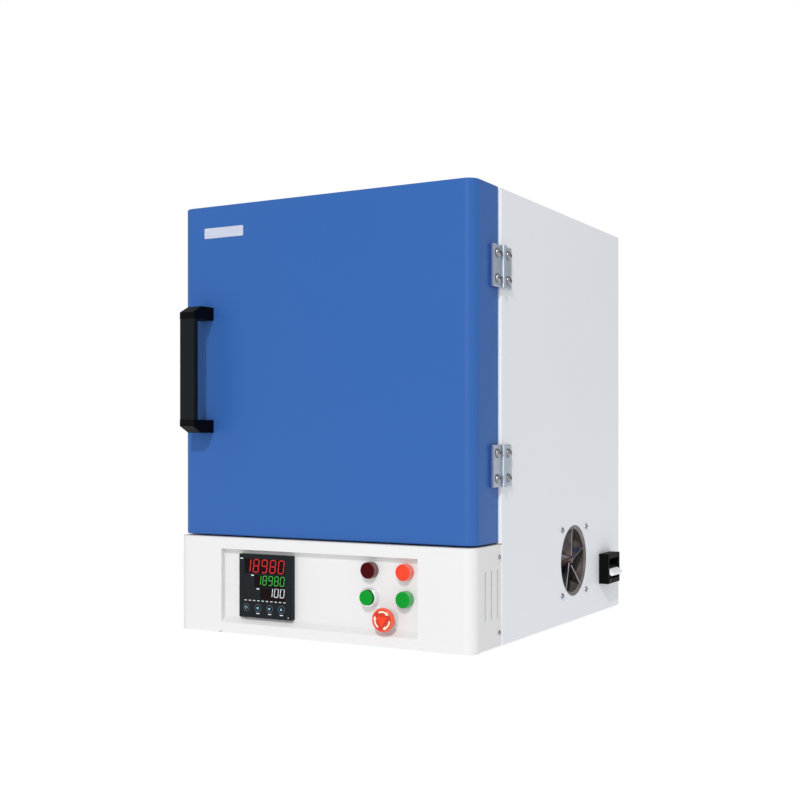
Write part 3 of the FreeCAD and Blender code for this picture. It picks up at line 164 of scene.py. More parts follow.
class Finish:
    """A material in the making, with its one Principled shader."""

    def __init__(self, name, constants):
        self.material = bpy.data.materials.new(name)
        self.material.use_nodes = True
        self.tree = self.material.node_tree
        self.shader = self.tree.nodes["Principled BSDF"]
        for socket, value in constants.items():
            self.shader.inputs[socket].default_value = value

    def node(self, kind, settings, inputs, output=0):
        """Adds a node, sets it up, then gives its sockets values or links."""
        made = self.tree.nodes.new(kind)
        for name, value in settings.items():
            setattr(made, name, value)
        for key, value in inputs.items():
            self.join(value, made.inputs[key])
        return Wire(self, made.outputs[output])

    def join(self, value, socket):
        if isinstance(value, Wire):
            self.tree.links.new(value.socket, socket)
        else:
            socket.default_value = value

    def give(self, socket, value):
        """Sends a value or a wire to the shader."""
        self.join(value, self.shader.inputs[socket])

    def place(self):
        return self.node("ShaderNodeTexCoord", {}, {}, "Object")

    def axis(self, letter):
        """One coordinate of the point on the object, in metres."""
        return self.node("ShaderNodeSeparateXYZ", {}, {0: self.place()}, "XYZ".index(letter))

    def noise(self, scale, detail=2.0, stretch=(1, 1, 1)):
        spot = self.node("ShaderNodeMapping", {}, {"Vector": self.place(), "Scale": stretch})
        return self.node("ShaderNodeTexNoise", {}, {"Vector": spot, "Scale": scale, "Detail": detail})

    def mix(self, factor, first, second):
        """Colour between two colours."""
        inputs = {"Factor": factor, 6: first, 7: second}
        return self.node("ShaderNodeMix", {"data_type": "RGBA"}, inputs, 2)

    def band(self, value, start, end):
        """0 before start and 1 after end."""
        return self.node("ShaderNodeMapRange", {}, {"Value": value, "From Min": start, "From Max": end})

    def relief(self, height, distance, strength):
        """Bump from a height of 0 to 1 that stands for a distance in metres."""
        inputs = {"Height": height, "Distance": distance, "Strength": strength}
        self.give("Normal", self.node("ShaderNodeBump", {}, inputs))


def rgb(red, green, blue):
    """Scene colour of a screen colour given as 0 to 255."""
    def linear(value):
        value /= 255
        return value / 12.92 if value <= 0.04045 else ((value + 0.055) / 1.055) ** 2.4
    return linear(red), linear(green), linear(blue), 1


def shade(colour, factor):
    """A colour made lighter or darker."""
    return colour[0] * factor, colour[1] * factor, colour[2] * factor, 1


def powder_coat(name, colour, roughness, gloss=0.3):
    """Baked powder paint: faint colour drift, fine orange peel, satin gloss."""
    powder = Finish(name, {"IOR": 1.5, "Specular IOR Level": gloss})
    drift = powder.noise(4.0, 2.0)
    powder.give("Base Color", powder.mix(drift, shade(colour, 0.985), shade(colour, 1.015)))
    peel = powder.noise(420.0, 3.0)
    powder.give("Roughness", roughness + 0.08 * (peel - 0.5))
    powder.relief(peel, 0.06 * MM, 0.35)
    return powder


def dress(node, finish):
    """Puts a finish on a CAD node that keeps its own shape."""
    slots = frame["nodes"][node].data.materials
    slots.clear()
    slots.append(finish.material)


def alone(piece):
    """Leaves only this piece selected and active."""
    if bpy.context.object and bpy.context.object.mode != "OBJECT":
        bpy.ops.object.mode_set(mode="OBJECT")
    bpy.ops.object.select_all(action="DESELECT")
    piece.select_set(True)
    bpy.context.view_layer.objects.active = piece


def merged_copy(node, name, smooth_below=28):
    """A copy of a CAD node: loose triangles merged, faces smooth where they meet below an angle."""
    source = frame["nodes"][node]
    body = source["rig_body"]
    piece = bpy.data.objects.new(name, source.data.copy())
    bpy.context.scene.collection.objects.link(piece)
    alone(piece)
    bpy.ops.object.mode_set(mode="EDIT")
    bpy.ops.mesh.select_all(action="SELECT")
    bpy.ops.mesh.remove_doubles(threshold=SAME_POINT)
    bpy.ops.object.mode_set(mode="OBJECT")
    bpy.ops.mesh.customdata_custom_splitnormals_clear()
    bpy.ops.object.shade_smooth_by_angle(angle=math.radians(smooth_below))
    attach(piece, body)
    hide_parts(node)
    return piece


def coat(piece, finish):
    """Gives a new piece its finish."""
    piece.data.materials.clear()
    piece.data.materials.append(finish.material)


SAME_POINT = 0.004 * MM
cabinet_white = powder_coat("cabinet_white", rgb(222, 225, 230), 0.42)
for sheet in ("top_panel", "front_frame", "rear_cover"):
    dress(sheet, cabinet_white)
for node, name in (("left_side_panel", "left_side"), ("right_side_panel", "right_side")):
    coat(merged_copy(node, name), cabinet_white)


# Front cover of the control compartment
# One moulded and painted cover with soft corners, a recessed panel and a foot lip under each corner.
# It is a more neutral white than the cabinet and a little glossier.
cover_white = powder_coat("cover_white", rgb(216, 216, 216), 0.38)
coat(merged_copy("front_cover", "control_cover"), cover_white)


# Door pan
# Folded steel pan with large rounded upright edges, coated in a semi-gloss blue.
door_blue = powder_coat("door_blue", rgb(49, 94, 162), 0.32, 0.14)
coat(merged_copy("door_shell", "door_pan"), door_blue)


# Plate on the door
# A small blank plate of brushed aluminium with rounded corners, glued on at the upper left.
plate_silver = Finish("plate_silver", {"Metallic": 0.55, "IOR": 1.45})
brushing = plate_silver.noise(900.0, 3.0, (0.04, 1, 1))
plate_silver.give("Base Color", plate_silver.mix(brushing, rgb(196, 204, 226), rgb(226, 232, 246)))
plate_silver.give("Roughness", 0.28 + 0.14 * brushing)
plate_silver.relief(brushing, 0.03 * MM, 0.5)
plate = merged_copy("nameplate", "blank_plate")
PLATE_LOWER = 0.91
bpy.ops.object.mode_set(mode="EDIT")
bpy.ops.mesh.select_all(action="SELECT")
plate_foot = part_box("nameplate")[0]
bpy.ops.transform.resize(value=(1, 1, PLATE_LOWER), center_override=plate_foot)
bpy.ops.object.mode_set(mode="OBJECT")
coat(plate, plate_silver)


# Handle
# A black moulded bridge handle: two legs with chamfered shoulders and a slimmer grip bar between them.
def moulded(name, colour, roughness, grain, gloss=0.15):
    """Moulded plastic with a fine spark-eroded grain."""
    plastic = Finish(name, {"IOR": 1.48, "Specular IOR Level": gloss})
    speck = plastic.noise(grain, 4.0)
    plastic.give("Base Color", plastic.mix(speck, shade(colour, 0.86), shade(colour, 1.14)))
    plastic.give("Roughness", roughness + 0.16 * (speck - 0.5))
    plastic.relief(speck, 0.08 * MM, 0.5)
    return plastic


def pick_edges(piece, test):
    """Enters edit mode with only the edges selected whose two ends pass a test."""
    alone(piece)
    bpy.ops.object.mode_set(mode="EDIT")
    bpy.ops.mesh.select_mode(type="EDGE")
    bpy.ops.mesh.select_all(action="DESELECT")
    bpy.ops.object.mode_set(mode="OBJECT")
    for edge in piece.data.edges:
        first, second = [piece.data.vertices[i].co for i in edge.vertices]
        edge.select = test(first, second)
    bpy.ops.object.mode_set(mode="EDIT")


def climbs(first, second, rise=1.0):
    """Whether an edge climbs by more than a rise in millimetres."""
    return abs(first.z - second.z) > rise * MM


bracket_black = moulded("bracket_black", rgb(5, 5, 8), 0.5, 900.0, 0.08)
grip_black = moulded("grip_black", rgb(22, 26, 29), 0.55, 700.0, 0.08)
coat(merged_copy("handle_brackets", "handle_legs", smooth_below=24), bracket_black)
GRIP_WIDER = 0.8 * MM
GRIP_REAR_ROUND = 9 * MM
GRIP_FRONT_ROUND = 1.6 * MM
GRIP_FRONT_SKIN = 1 * MM
grip_low, grip_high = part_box("handle_grip")
grip_low.x -= GRIP_WIDER
grip_middle = (grip_low + grip_high) / 2
bpy.ops.object.select_all(action="DESELECT")
bpy.ops.mesh.primitive_cube_add(size=1, location=grip_middle)
grip_bar = bpy.context.object
grip_bar.name = "grip_bar"
grip_bar.scale = grip_high - grip_low
bpy.ops.object.transform_apply(location=True, rotation=False, scale=True)
pick_edges(grip_bar, lambda a, b: climbs(a, b) and a.y > grip_middle.y)
bpy.ops.mesh.bevel(offset=GRIP_REAR_ROUND, segments=6)
pick_edges(grip_bar, lambda a, b: climbs(a, b) and max(a.y, b.y) < grip_low.y + GRIP_FRONT_SKIN)
bpy.ops.mesh.bevel(offset=GRIP_FRONT_ROUND, segments=4)
bpy.ops.object.mode_set(mode="OBJECT")
bpy.ops.object.shade_smooth_by_angle(angle=math.radians(32))
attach(grip_bar, "door")
coat(grip_bar, grip_black)
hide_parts("handle_grip")


# Hinges
# Two machine hinges of plated steel: flat leaves, a slim barrel and a pin with low heads.
# Under each door leaf lies a packing, given a darker blue than the door as painted shadow on the door's
# edge beside the hinge.
def plated(name, colour, roughness):
    """Plated steel with fine drawing marks and a cloudy tone."""
    steel = Finish(name, {"Metallic": 1.0})
    marks = steel.noise(1100.0, 3.0, (1, 1, 0.05))
    cloud = steel.noise(60.0, 2.0)
    steel.give("Base Color", steel.mix(cloud, shade(colour, 0.85), shade(colour, 1.1)))
    steel.give("Roughness", roughness + 0.16 * marks)
    steel.relief(marks, 0.04 * MM, 0.4)
    return steel


hinge_steel = plated("hinge_steel", rgb(180, 190, 202), 0.3)
HINGE_PIECES = {"hinge_leaves_door": "door_leaves", "hinge_leaves_cabinet": "cabinet_leaves",
                "hinge_pins": "barrel_pins"}
for node, name in HINGE_PIECES.items():
    coat(merged_copy(node, name), hinge_steel)
# The packings' darker blue is painted shadow on the door's edge beside the hinge.
packing_shadow_blue = powder_coat("packing_shadow_blue", rgb(44, 66, 132), 0.45)
dress("hinge_packings", packing_shadow_blue)


# Screws
# Plated button-head screws with a hexagon socket. One is turned and pressed, then copied to every seat.
# The hinges have large ones, the fan middling ones, the front cover and the rear edge small ones.
def turned(name, profile, sides=64):
    """A turned piece up the Z axis: a disc drawn up through rings of (radius, height) in millimetres."""
    bpy.ops.object.select_all(action="DESELECT")
    radius, height = profile[0]
    bpy.ops.mesh.primitive_circle_add(vertices=sides, radius=radius * MM, fill_type="NGON",
                                      location=(0, 0, height * MM))
    piece = bpy.context.object
    piece.name = name
    bpy.ops.object.transform_apply(location=True, rotation=False, scale=False)
    bpy.ops.object.mode_set(mode="EDIT")
    bpy.ops.mesh.select_all(action="SELECT")
    for next_radius, next_height in profile[1:]:
        rise = (next_height - height) * MM
        factor = next_radius / radius
        bpy.ops.mesh.extrude_region_move(TRANSFORM_OT_translate={"value": (0, 0, rise)})
        bpy.ops.transform.resize(value=(factor, factor, 1), center_override=(0, 0, 0))
        radius, height = next_radius, next_height
    bpy.ops.mesh.select_all(action="SELECT")
    bpy.ops.mesh.normals_make_consistent(inside=False)
    bpy.ops.object.mode_set(mode="OBJECT")
    bpy.ops.object.shade_smooth_by_angle(angle=math.radians(32))
    return piece


def stood(piece, seat, outward):
    """Stands a piece that was built up the Z axis on its seat and puts its place into its mesh."""
    alone(piece)
    piece.rotation_euler = outward.to_track_quat("Z", "Y").to_euler()
    piece.location = seat
    bpy.ops.object.transform_apply(location=True, rotation=True, scale=True)


def set_in(piece, seat, outward, finish, slot_name, node):
    """Seats a new piece, gives it its finish and lets it stand for its CAD node."""
    stood(piece, seat, outward)
    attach(piece, frame["nodes"][node]["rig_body"])
    coat(piece, finish)
    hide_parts(node)


def button_screw(name, radius):
    """Domed head with a hexagon socket pressed into it; its profile is in parts of the radius."""
    screw = turned(name, [(radius * out, radius * up) for out, up in SCREW_PROFILE], sides=40)
    bpy.ops.object.select_all(action="DESELECT")
    bpy.ops.mesh.primitive_cylinder_add(vertices=6, radius=radius * SOCKET_RADIUS * MM,
                                        depth=radius * SOCKET_DEPTH * MM,
                                        location=(0, 0, radius * SCREW_TOP * MM))
    socket = bpy.context.object
    alone(screw)
    bpy.ops.object.modifier_add(type="BOOLEAN")
    screw.modifiers[0].object = socket
    bpy.ops.object.modifier_apply(modifier=screw.modifiers[0].name)
    bpy.data.objects.remove(socket)
    return screw


def copies(piece, count):
    """The piece and its copies, each with its own mesh."""
    others = [piece.copy() for _ in range(count - 1)]
    for other in others:
        other.data = piece.data.copy()
        bpy.context.scene.collection.objects.link(other)
    return [piece] + others


SCREW_TOP = 0.64
SCREW_PROFILE = [(0.94, 0), (1.0, 0.08), (0.98, 0.2), (0.87, 0.4), (0.68, 0.55), (0.44, SCREW_TOP)]
SOCKET_RADIUS = 0.3
SOCKET_DEPTH = 0.5
RIGHT = Vector((1, 0, 0))
OPERATOR = Vector((0, -1, 0))
HINGE_HALF = 30 * MM
HINGE_PROUD = 4 * MM
HINGE_AXIS_Y = front_y - DOOR_GAP / 2
HINGE_SCREW_OUT = 18 * MM
HINGE_SCREW_RADIUS = 6.8
screw_steel = plated("screw_steel", rgb(150, 150, 155), 0.12)
leaf_low, leaf_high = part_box("hinge_leaves_cabinet")
cabinet_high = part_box("right_side_panel")[1]
leaf_face = cabinet_high.x + HINGE_PROUD
hinge_middles = (leaf_low.z + HINGE_HALF, leaf_high.z - HINGE_HALF)
hinge_heights = [middle + s * HINGE_SCREW_OUT for middle in hinge_middles for s in (-1, 1)]
leaf_sides = (("door_screws", -1), ("hinge_screws_cabinet", 1))
hinge_seats = [(node, toward, z) for node, toward in leaf_sides for z in hinge_heights]
hinge_screws = copies(button_screw("hinge_screw", HINGE_SCREW_RADIUS), len(hinge_seats))
for screw, (node, toward, z) in zip(hinge_screws, hinge_seats):
    seat = Vector((leaf_face, HINGE_AXIS_Y + toward * HINGE_SCREW_OUT, z))
    set_in(screw, seat, RIGHT, screw_steel, "bright_steel", node)

FAN_SCREW_OUT = 52.4 * MM
FAN_SCREW_RADIUS = 4.6
fan_low, fan_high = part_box("fan_frame")
fan_centre = (fan_low + fan_high) / 2
fan_corners = [(s * FAN_SCREW_OUT, t * FAN_SCREW_OUT) for s in (-1, 1) for t in (-1, 1)]
fan_screws = copies(button_screw("fan_screw", FAN_SCREW_RADIUS), len(fan_corners))
for screw, (dy, dz) in zip(fan_screws, fan_corners):
    seat = Vector((cabinet_high.x, fan_centre.y + dy, fan_centre.z + dz))
    set_in(screw, seat, RIGHT, screw_steel, "bright_steel", "fan_screws")

COVER_SCREW_BACK = 3.8 * MM
COVER_SCREW_RADIUS = 3.4
COVER_SCREW_HEIGHTS = (21.4 * MM, 128.6 * MM)
REAR_SCREW_OUT = 246.1 * MM
REAR_SCREW_LOW = 18.4 * MM
REAR_SCREW_STEP = 155 * MM
REAR_SCREWS_A_SIDE = 5
cover_low, cover_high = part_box("front_cover")
small_seats = [(Vector((x, front_y - COVER_SCREW_BACK, z)), RIGHT * s)
               for s, x in ((-1, cover_low.x), (1, cover_high.x)) for z in COVER_SCREW_HEIGHTS]
rear_heights = [REAR_SCREW_LOW + REAR_SCREW_STEP * i for i in range(REAR_SCREWS_A_SIDE)]
small_seats += [(Vector((centre_x + s * REAR_SCREW_OUT, cabinet_high.y, z)), -OPERATOR)
                for s in (-1, 1) for z in rear_heights]
small_screws = copies(button_screw("cover_screw", COVER_SCREW_RADIUS), len(small_seats))
for screw, (seat, outward) in zip(small_screws, small_seats):
    set_in(screw, seat, outward, screw_steel, "bright_steel", "panel_screws")


# Controller
# A charcoal panel instrument: satin bezel, three smoked panes with lit seven-segment numbers, four keys.
# The numbers glow in the panes; the marks on the bezel are plain bars, pad printed.
def soft_box(name, width, depth, height, softness, turns=2):
    """A block round the origin whose edges along Y are rounded off."""
    bpy.ops.object.select_all(action="DESELECT")
    bpy.ops.mesh.primitive_cube_add(size=1, scale=(width * MM, depth * MM, height * MM))
    block = bpy.context.object
    block.name = name
    bpy.ops.object.transform_apply(location=False, rotation=False, scale=True)
    pick_edges(block, lambda a, b: abs(a.x - b.x) < NO_LENGTH and abs(a.z - b.z) < NO_LENGTH)
    bpy.ops.mesh.bevel(offset=softness * MM, segments=turns)
    bpy.ops.object.mode_set(mode="OBJECT")
    return block


def joined(pieces, name):
    """One piece from several."""
    alone(pieces[0])
    for piece in pieces[1:]:
        piece.select_set(True)
    if len(pieces) > 1:
        bpy.ops.object.join()
    pieces[0].name = name
    return pieces[0]


def spread(piece, spots):
    """Copies of a piece moved to spots given as (x, z) in millimetres, joined to one piece."""
    group = copies(piece, len(spots))
    for member, (x, z) in zip(group, spots):
        member.location = (x * MM, 0, z * MM)
    whole = joined(group, piece.name)
    bpy.ops.object.transform_apply(location=True, rotation=False, scale=False)
    return whole


def glowing(name, colour, strength):
    """Light-emitting bars: their own colour, lit from within."""
    light = Finish(name, {"Roughness": 0.4, "Emission Strength": strength, "Specular IOR Level": 0.2})
    flicker = light.noise(300.0, 1.0)
    light.give("Base Color", shade(colour, 0.4))
    light.give("Emission Color", light.mix(flicker, shade(colour, 0.9), colour))
    return light


def print_and_painted_highlight(name, colour):
    """Matt colour with a slightly uneven edge to its tone: pad print on signs and marks, painted
    highlight on the key rings.
    """
    ink = Finish(name, {"Roughness": 0.6})
    ink.give("Base Color", ink.mix(ink.noise(1500.0, 2.0), shade(colour, 0.92), colour))
    return ink


NO_LENGTH = 0.0001 * MM
SEGMENTS = {"0": "abcdef", "1": "bc", "8": "abcdefg", "9": "abcdfg"}
SLANT = math.tan(math.radians(7))
STROKE_SHARE = 0.078
BAR_DEPTH = 0.12
BEHIND_PANE = 0.22
NUMBERS_RIGHT = 84.3
bezel_low, bezel_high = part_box("controller_housing")
face_black = moulded("face_black", rgb(20, 25, 29), 0.34, 1300.0)
coat(merged_copy("controller_housing", "controller_case"), face_black)
pane_dark = Finish("pane_dark", {"Roughness": 0.2, "Specular IOR Level": 0.06})
pane_dark.give("Base Color", pane_dark.mix(pane_dark.noise(200.0), rgb(16, 6, 9), rgb(24, 10, 13)))
coat(merged_copy("display_windows", "smoked_panes"), pane_dark)


def on_face(piece, right, down, lift):
    """Puts a flat piece on the bezel, measured from the bezel's upper left corner in millimetres."""
    alone(piece)
    piece.location = (bezel_low.x + right * MM, bezel_low.y - lift * MM, bezel_high.z - down * MM)
    bpy.ops.object.transform_apply(location=True, rotation=True, scale=True)
    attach(piece, "cabinet")


def lit_number(name, text, finish, top, height, width, pitch):
    """A slanted seven-segment number behind its pane; its top and its digits are in millimetres."""
    stroke = height * STROKE_SHARE
    softness = stroke * 0.42
    level = soft_box(name + "_level", width - stroke * 1.1, BAR_DEPTH, stroke, softness, turns=1)
    upright_length = height / 2 - stroke * 0.75
    upright = soft_box(name + "_upright", stroke, BAR_DEPTH, upright_length, softness, turns=1)
    quarter = height / 4 - stroke / 4
    spots = {"a": (0, height - stroke / 2), "g": (0, height / 2), "d": (0, stroke / 2),
             "f": (-width / 2, height / 2 + quarter), "b": (width / 2, height / 2 + quarter),
             "e": (-width / 2, height / 2 - quarter), "c": (width / 2, height / 2 - quarter)}
    level_spots = []
    upright_spots = []
    for place_in_text, digit in enumerate(text):
        middle = (place_in_text - len(text) + 1) * pitch - width / 2 - stroke / 2
        for letter in SEGMENTS[digit]:
            x, z = spots[letter]
            (level_spots if letter in "agd" else upright_spots).append((middle + x, z))
    number = joined([spread(level, level_spots), spread(upright, upright_spots)], name)
    lean = Matrix.Identity(4)
    lean[0][2] = SLANT
    number.data.transform(lean)
    number.data.transform(Matrix.Translation((-SLANT * height * MM, 0, 0)))
    on_face(number, NUMBERS_RIGHT, top + height, -BEHIND_PANE)
    coat(number, finish)


red_light = glowing("red_light", rgb(226, 50, 50), 0.42)
green_light = glowing("green_light", rgb(74, 196, 78), 0.44)
white_light = glowing("white_light", rgb(226, 234, 240), 0.7)
lit_number("upper_number", "18980", red_light, top=7.0, height=20.4, width=9.3, pitch=15.2)
lit_number("middle_number", "18980", green_light, top=31.3, height=14.6, width=6.6, pitch=10.6)
lit_number("lower_number", "100", white_light, top=49.4, height=13.8, width=6.6, pitch=10.6)

pale_ink = print_and_painted_highlight("pale_ink", rgb(214, 222, 226))
PRINT_THICKNESS = 0.06
PRINT_LIFT = 0.02
# Each kind of mark has its width, height, corner radius and places from the bezel's upper left corner.
MARKS = {"state_marks": (4.2, 1.1, 0.3, [(12.7 + 7.9 * i, -69.7) for i in range(10)]),
         "key_marks": (6.0, 1.3, 0.4, [(35.4 + 21.4 * i, -88.9) for i in range(3)]),
         "pane_marks": (5.0, 1.7, 0.5, [(5.4, -6.8), (25.5, -31.6), (35.5, -51.8)]),
         "corner_mark": (1.8, 1.8, 0.7, [(90.5, -92.0)])}
for name, (width, height, softness, places) in MARKS.items():
    marks = spread(soft_box(name, width, PRINT_THICKNESS, height, softness), places)
    on_face(marks, 0, 0, PRINT_LIFT)
    coat(marks, pale_ink)


# Keys
# Four round moulded keys with a shallow dish, a grey ring round each that is a painted highlight on the
# key's rim, and a printed sign in pale blue.
def spun(piece, degrees):
    """Turns a piece round the Z axis and puts the turn into its mesh."""
    alone(piece)
    piece.rotation_euler = (0, 0, math.radians(degrees))
    bpy.ops.object.transform_apply(location=False, rotation=True, scale=False)
    return piece


def arrow_head(name, radius, thickness, degrees):
    """A three-cornered sign up the Z axis; at no turn its point is up."""
    return spun(turned(name, [(radius, 0), (radius, thickness)], sides=3), degrees)


def curved_arrow(name, radius, width, sweep, head, thickness):
    """An arrow round the Z axis, clockwise: a band swept back from +X, with a head on its first end."""
    bpy.ops.object.select_all(action="DESELECT")
    bpy.ops.mesh.primitive_plane_add(size=1, location=(radius * MM, 0, 0))
    band = bpy.context.object
    band.name = name
    band.scale = (width * MM, 0.02 * MM, 1)
    bpy.ops.object.transform_apply(location=True, rotation=False, scale=True)
    pick_edges(band, lambda a, b: min(a.y, b.y) > 0)
    bpy.ops.mesh.spin(steps=18, angle=math.radians(-sweep), center=(0, 0, 0), axis=(0, 0, 1))
    bpy.ops.mesh.select_all(action="SELECT")
    bpy.ops.mesh.extrude_region_move(TRANSFORM_OT_translate={"value": (0, 0, thickness * MM)})
    bpy.ops.mesh.select_all(action="SELECT")
    bpy.ops.mesh.normals_make_consistent(inside=False)
    bpy.ops.object.mode_set(mode="OBJECT")
    point = arrow_head(name + "_point", head, thickness * 0.98, 180)
    point.location = (radius * MM, -head * 0.45 * MM, 0)
    return joined([band, point], name)


def opened(piece):
    """Takes the two end discs off a turned piece."""
    alone(piece)
    bpy.ops.object.mode_set(mode="EDIT")
    bpy.ops.mesh.select_all(action="DESELECT")
    bpy.ops.mesh.select_face_by_sides(number=4, type="GREATER")
    bpy.ops.mesh.delete(type="FACE")
    bpy.ops.object.mode_set(mode="OBJECT")
    return piece


def rear_middle(node):
    """Middle of a node's rear, where a piece that faces the operator is seated."""
    low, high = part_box(node)
    return Vector(((low.x + high.x) / 2, high.y, (low.z + high.z) / 2))


sign_blue = print_and_painted_highlight("sign_blue", rgb(146, 206, 230))
# The grey of the rings round the keys is a painted highlight on each key's rim.
painted_highlight_ring = print_and_painted_highlight("painted_highlight_ring", rgb(96, 108, 112))
KEY_NODES = ("key_menu", "key_left", "key_down", "key_up")
KEY_SIGNS = {"key_left": 90, "key_down": 180, "key_up": 0}
KEY_DISH = 3.36
KEY_PROFILE = [(4.9, 0), (4.9, 3.0), (4.75, 3.3), (4.4, 3.55), (3.9, 3.6), (2.6, 3.42), (0.4, KEY_DISH)]
RING_PROFILE = [(5.75, 0), (5.75, 0.3), (5.65, 0.36), (5.3, 0.36), (5.2, 0.3), (5.2, 0.0)]
RING_SUNK = 0.3 * MM
key_finish = moulded("key_finish", rgb(24, 30, 33), 0.32, 1300.0)
for node in KEY_NODES:
    seat = rear_middle(node)
    cap = turned(node + "_cap", KEY_PROFILE, sides=48)
    set_in(cap, seat, OPERATOR, key_finish, "key_plastic", node)
    # A thin grey ring on the bezel round the key: a painted highlight.
    ring = turned(node + "_ring", RING_PROFILE, sides=48)
    stood(ring, Vector((seat.x, bezel_low.y + RING_SUNK, seat.z)), OPERATOR)
    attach(ring, "cabinet")
    coat(ring, painted_highlight_ring)
    if node == "key_menu":
        sign = curved_arrow(node + "_sign", radius=1.9, width=0.6, sweep=270, head=1.0, thickness=0.1)
    else:
        sign = arrow_head(node + "_sign", radius=2.4, thickness=0.1, degrees=KEY_SIGNS[node])
    stood(sign, Vector((seat.x, seat.y - KEY_DISH * MM, seat.z)), OPERATOR)
    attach(sign, frame["nodes"][node]["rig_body"])
    coat(sign, sign_blue)


# Lamps
# Three round pilot lamps: dark red, orange-red and green.
# Each is a cup of tinted plastic whose face shows full colour; the paler, streaked tone of its wall is
# painted light shining through the thin wall.
def lens_plastic(name, face, painted_wall_light, foot_y):
    """Tinted plastic: strong on the face; on the wall a second, streaked tone that is painted light,
    paler on the lamps and darker as painted shade on the start cap.
    """
    glass = Finish(name, {"IOR": 1.49, "Specular IOR Level": 0.08})
    toward_face = glass.band(glass.axis("Y"), foot_y - WALL_END, foot_y - FACE_START)
    wall_light_streaks = glass.noise(260.0, 2.0, (1, 0.1, 1))
    painted_wall_tone = glass.mix(wall_light_streaks, shade(painted_wall_light, 0.72), shade(painted_wall_light, 1.12))
    pattern = glass.noise(700.0, 1.0)
    face_tone = glass.mix(pattern, shade(face, 0.86), shade(face, 1.14))
    glass.give("Base Color", glass.mix(toward_face, painted_wall_tone, face_tone))
    glass.give("Roughness", 0.16 + 0.2 * pattern)
    glass.relief(pattern, 0.08 * MM, 0.4)
    return glass


panel_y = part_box("lamp_lens_dark")[1].y
WALL_END = 11.0 * MM
FACE_START = 12.3 * MM
LENS_PROFILE = [(12.0, 0), (12.0, 10.4), (11.86, 11.3), (11.4, 12.0), (10.6, 12.4), (9.6, 12.5),
                (5.0, 12.62), (0.4, 12.66)]
# Each lamp has its face colour and a paler wall colour that is painted light shining through the wall.
LENS_COLOURS = {"dark": (rgb(64, 0, 3), rgb(126, 96, 98)),
                "orange": (rgb(224, 68, 42), rgb(250, 140, 128)),
                "green": (rgb(8, 142, 42), rgb(112, 180, 126))}
for lens_name, (face, painted_wall_light) in LENS_COLOURS.items():
    node = "lamp_lens_" + lens_name
    glass = lens_plastic("lens_" + lens_name, face, painted_wall_light, panel_y)
    cup = turned("lens_cup_" + lens_name, LENS_PROFILE)
    set_in(cup, rear_middle(node), OPERATOR, glass, "lens_" + lens_name, node)


# Start button
# A spring-loaded green cap that stands out of a chromed ring, its face a little dished.
chrome = Finish("chrome", {"Metallic": 1.0})
chrome_cloud = chrome.noise(90.0, 2.0)
chrome.give("Base Color", chrome.mix(chrome_cloud, rgb(224, 226, 228), rgb(244, 245, 246)))
chrome.give("Roughness", 0.1 + 0.1 * chrome_cloud)
start_seat = rear_middle("start_ring")
start_bezel = turned("start_bezel", [(13.5, 0), (13.5, 10.5), (13.3, 11.3), (12.7, 11.85), (12.0, 12.0),
                                     (11.3, 11.9), (10.9, 11.5), (10.86, 10.5), (10.86, 2.0)], sides=80)
set_in(opened(start_bezel), start_seat, OPERATOR, chrome, "ring_chrome", "start_ring")
CAP_PROUD = 4 * MM
# The cap's wall is a darker green than its face: painted shade down its side.
cap_green = lens_plastic("cap_green", rgb(8, 142, 42), rgb(16, 104, 40), panel_y - CAP_PROUD)
start_button = turned("start_button_cap", [(10.8, 3.6), (10.8, 15.6), (10.65, 16.2), (10.2, 16.52),
                                           (9.6, 16.6), (8.6, 16.45), (5.0, 16.25), (0.4, 16.2)],
                      sides=80)
set_in(start_button, start_seat, OPERATOR, cap_green, "button_green", "start_cap")


# Emergency stop
# A mushroom head of orange-red plastic on a sliding stem that comes out of a white collar.
# It has a three-cornered grip in its middle and three pale arrows that show the way it unlocks.
stop_red = moulded("stop_red", rgb(192, 60, 44), 0.34, 800.0)
rim_red = moulded("rim_red", rgb(238, 96, 70), 0.34, 800.0)
grip_orange = moulded("grip_orange", rgb(236, 66, 34), 0.34, 800.0)
arrow_pale = print_and_painted_highlight("arrow_pale", rgb(250, 222, 200))
COLLAR_RADIUS = 14.5 * MM
STOP_GRIP_ROUND = 3.0 * MM
STOP_GRIP_TURN = 60
collar_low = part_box("stop_collar")[0]
stop_seat = Vector((collar_low.x + COLLAR_RADIUS, panel_y, collar_low.z + COLLAR_RADIUS))
mushroom = turned("mushroom", [(9.4, 12.0), (13.0, 12.6), (15.6, 14.6), (16.8, 17.2), (17.3, 19.6),
                               (17.2, 21.2), (16.7, 22.3), (15.9, 23.0), (15.2, 23.2), (14.9, 22.9),
                               (14.9, 22.0)], sides=96)
set_in(mushroom, stop_seat, OPERATOR, rim_red, "stop_red", "stop_head")
groove = turned("stop_groove", [(14.9, 22.0), (14.9, 22.6), (9.6, 22.7), (0.4, 22.9)], sides=96)
set_in(groove, stop_seat, OPERATOR, stop_red, "stop_red", "stop_head")
grip = turned("stop_grip", [(10.4, 22.4), (10.3, 23.6), (9.8, 24.0), (9.0, 24.1)], sides=3)
pick_edges(grip, lambda a, b: climbs(a, b, rise=0.1))
bpy.ops.mesh.bevel(offset=STOP_GRIP_ROUND, segments=4)
bpy.ops.object.mode_set(mode="OBJECT")
bpy.ops.object.shade_smooth_by_angle(angle=math.radians(40))
spun(grip, STOP_GRIP_TURN)
set_in(grip, stop_seat, OPERATOR, grip_orange, "stop_red", "stop_head")
ARROW_TURN = 56
ARROW_HEIGHT = 22.62 * MM
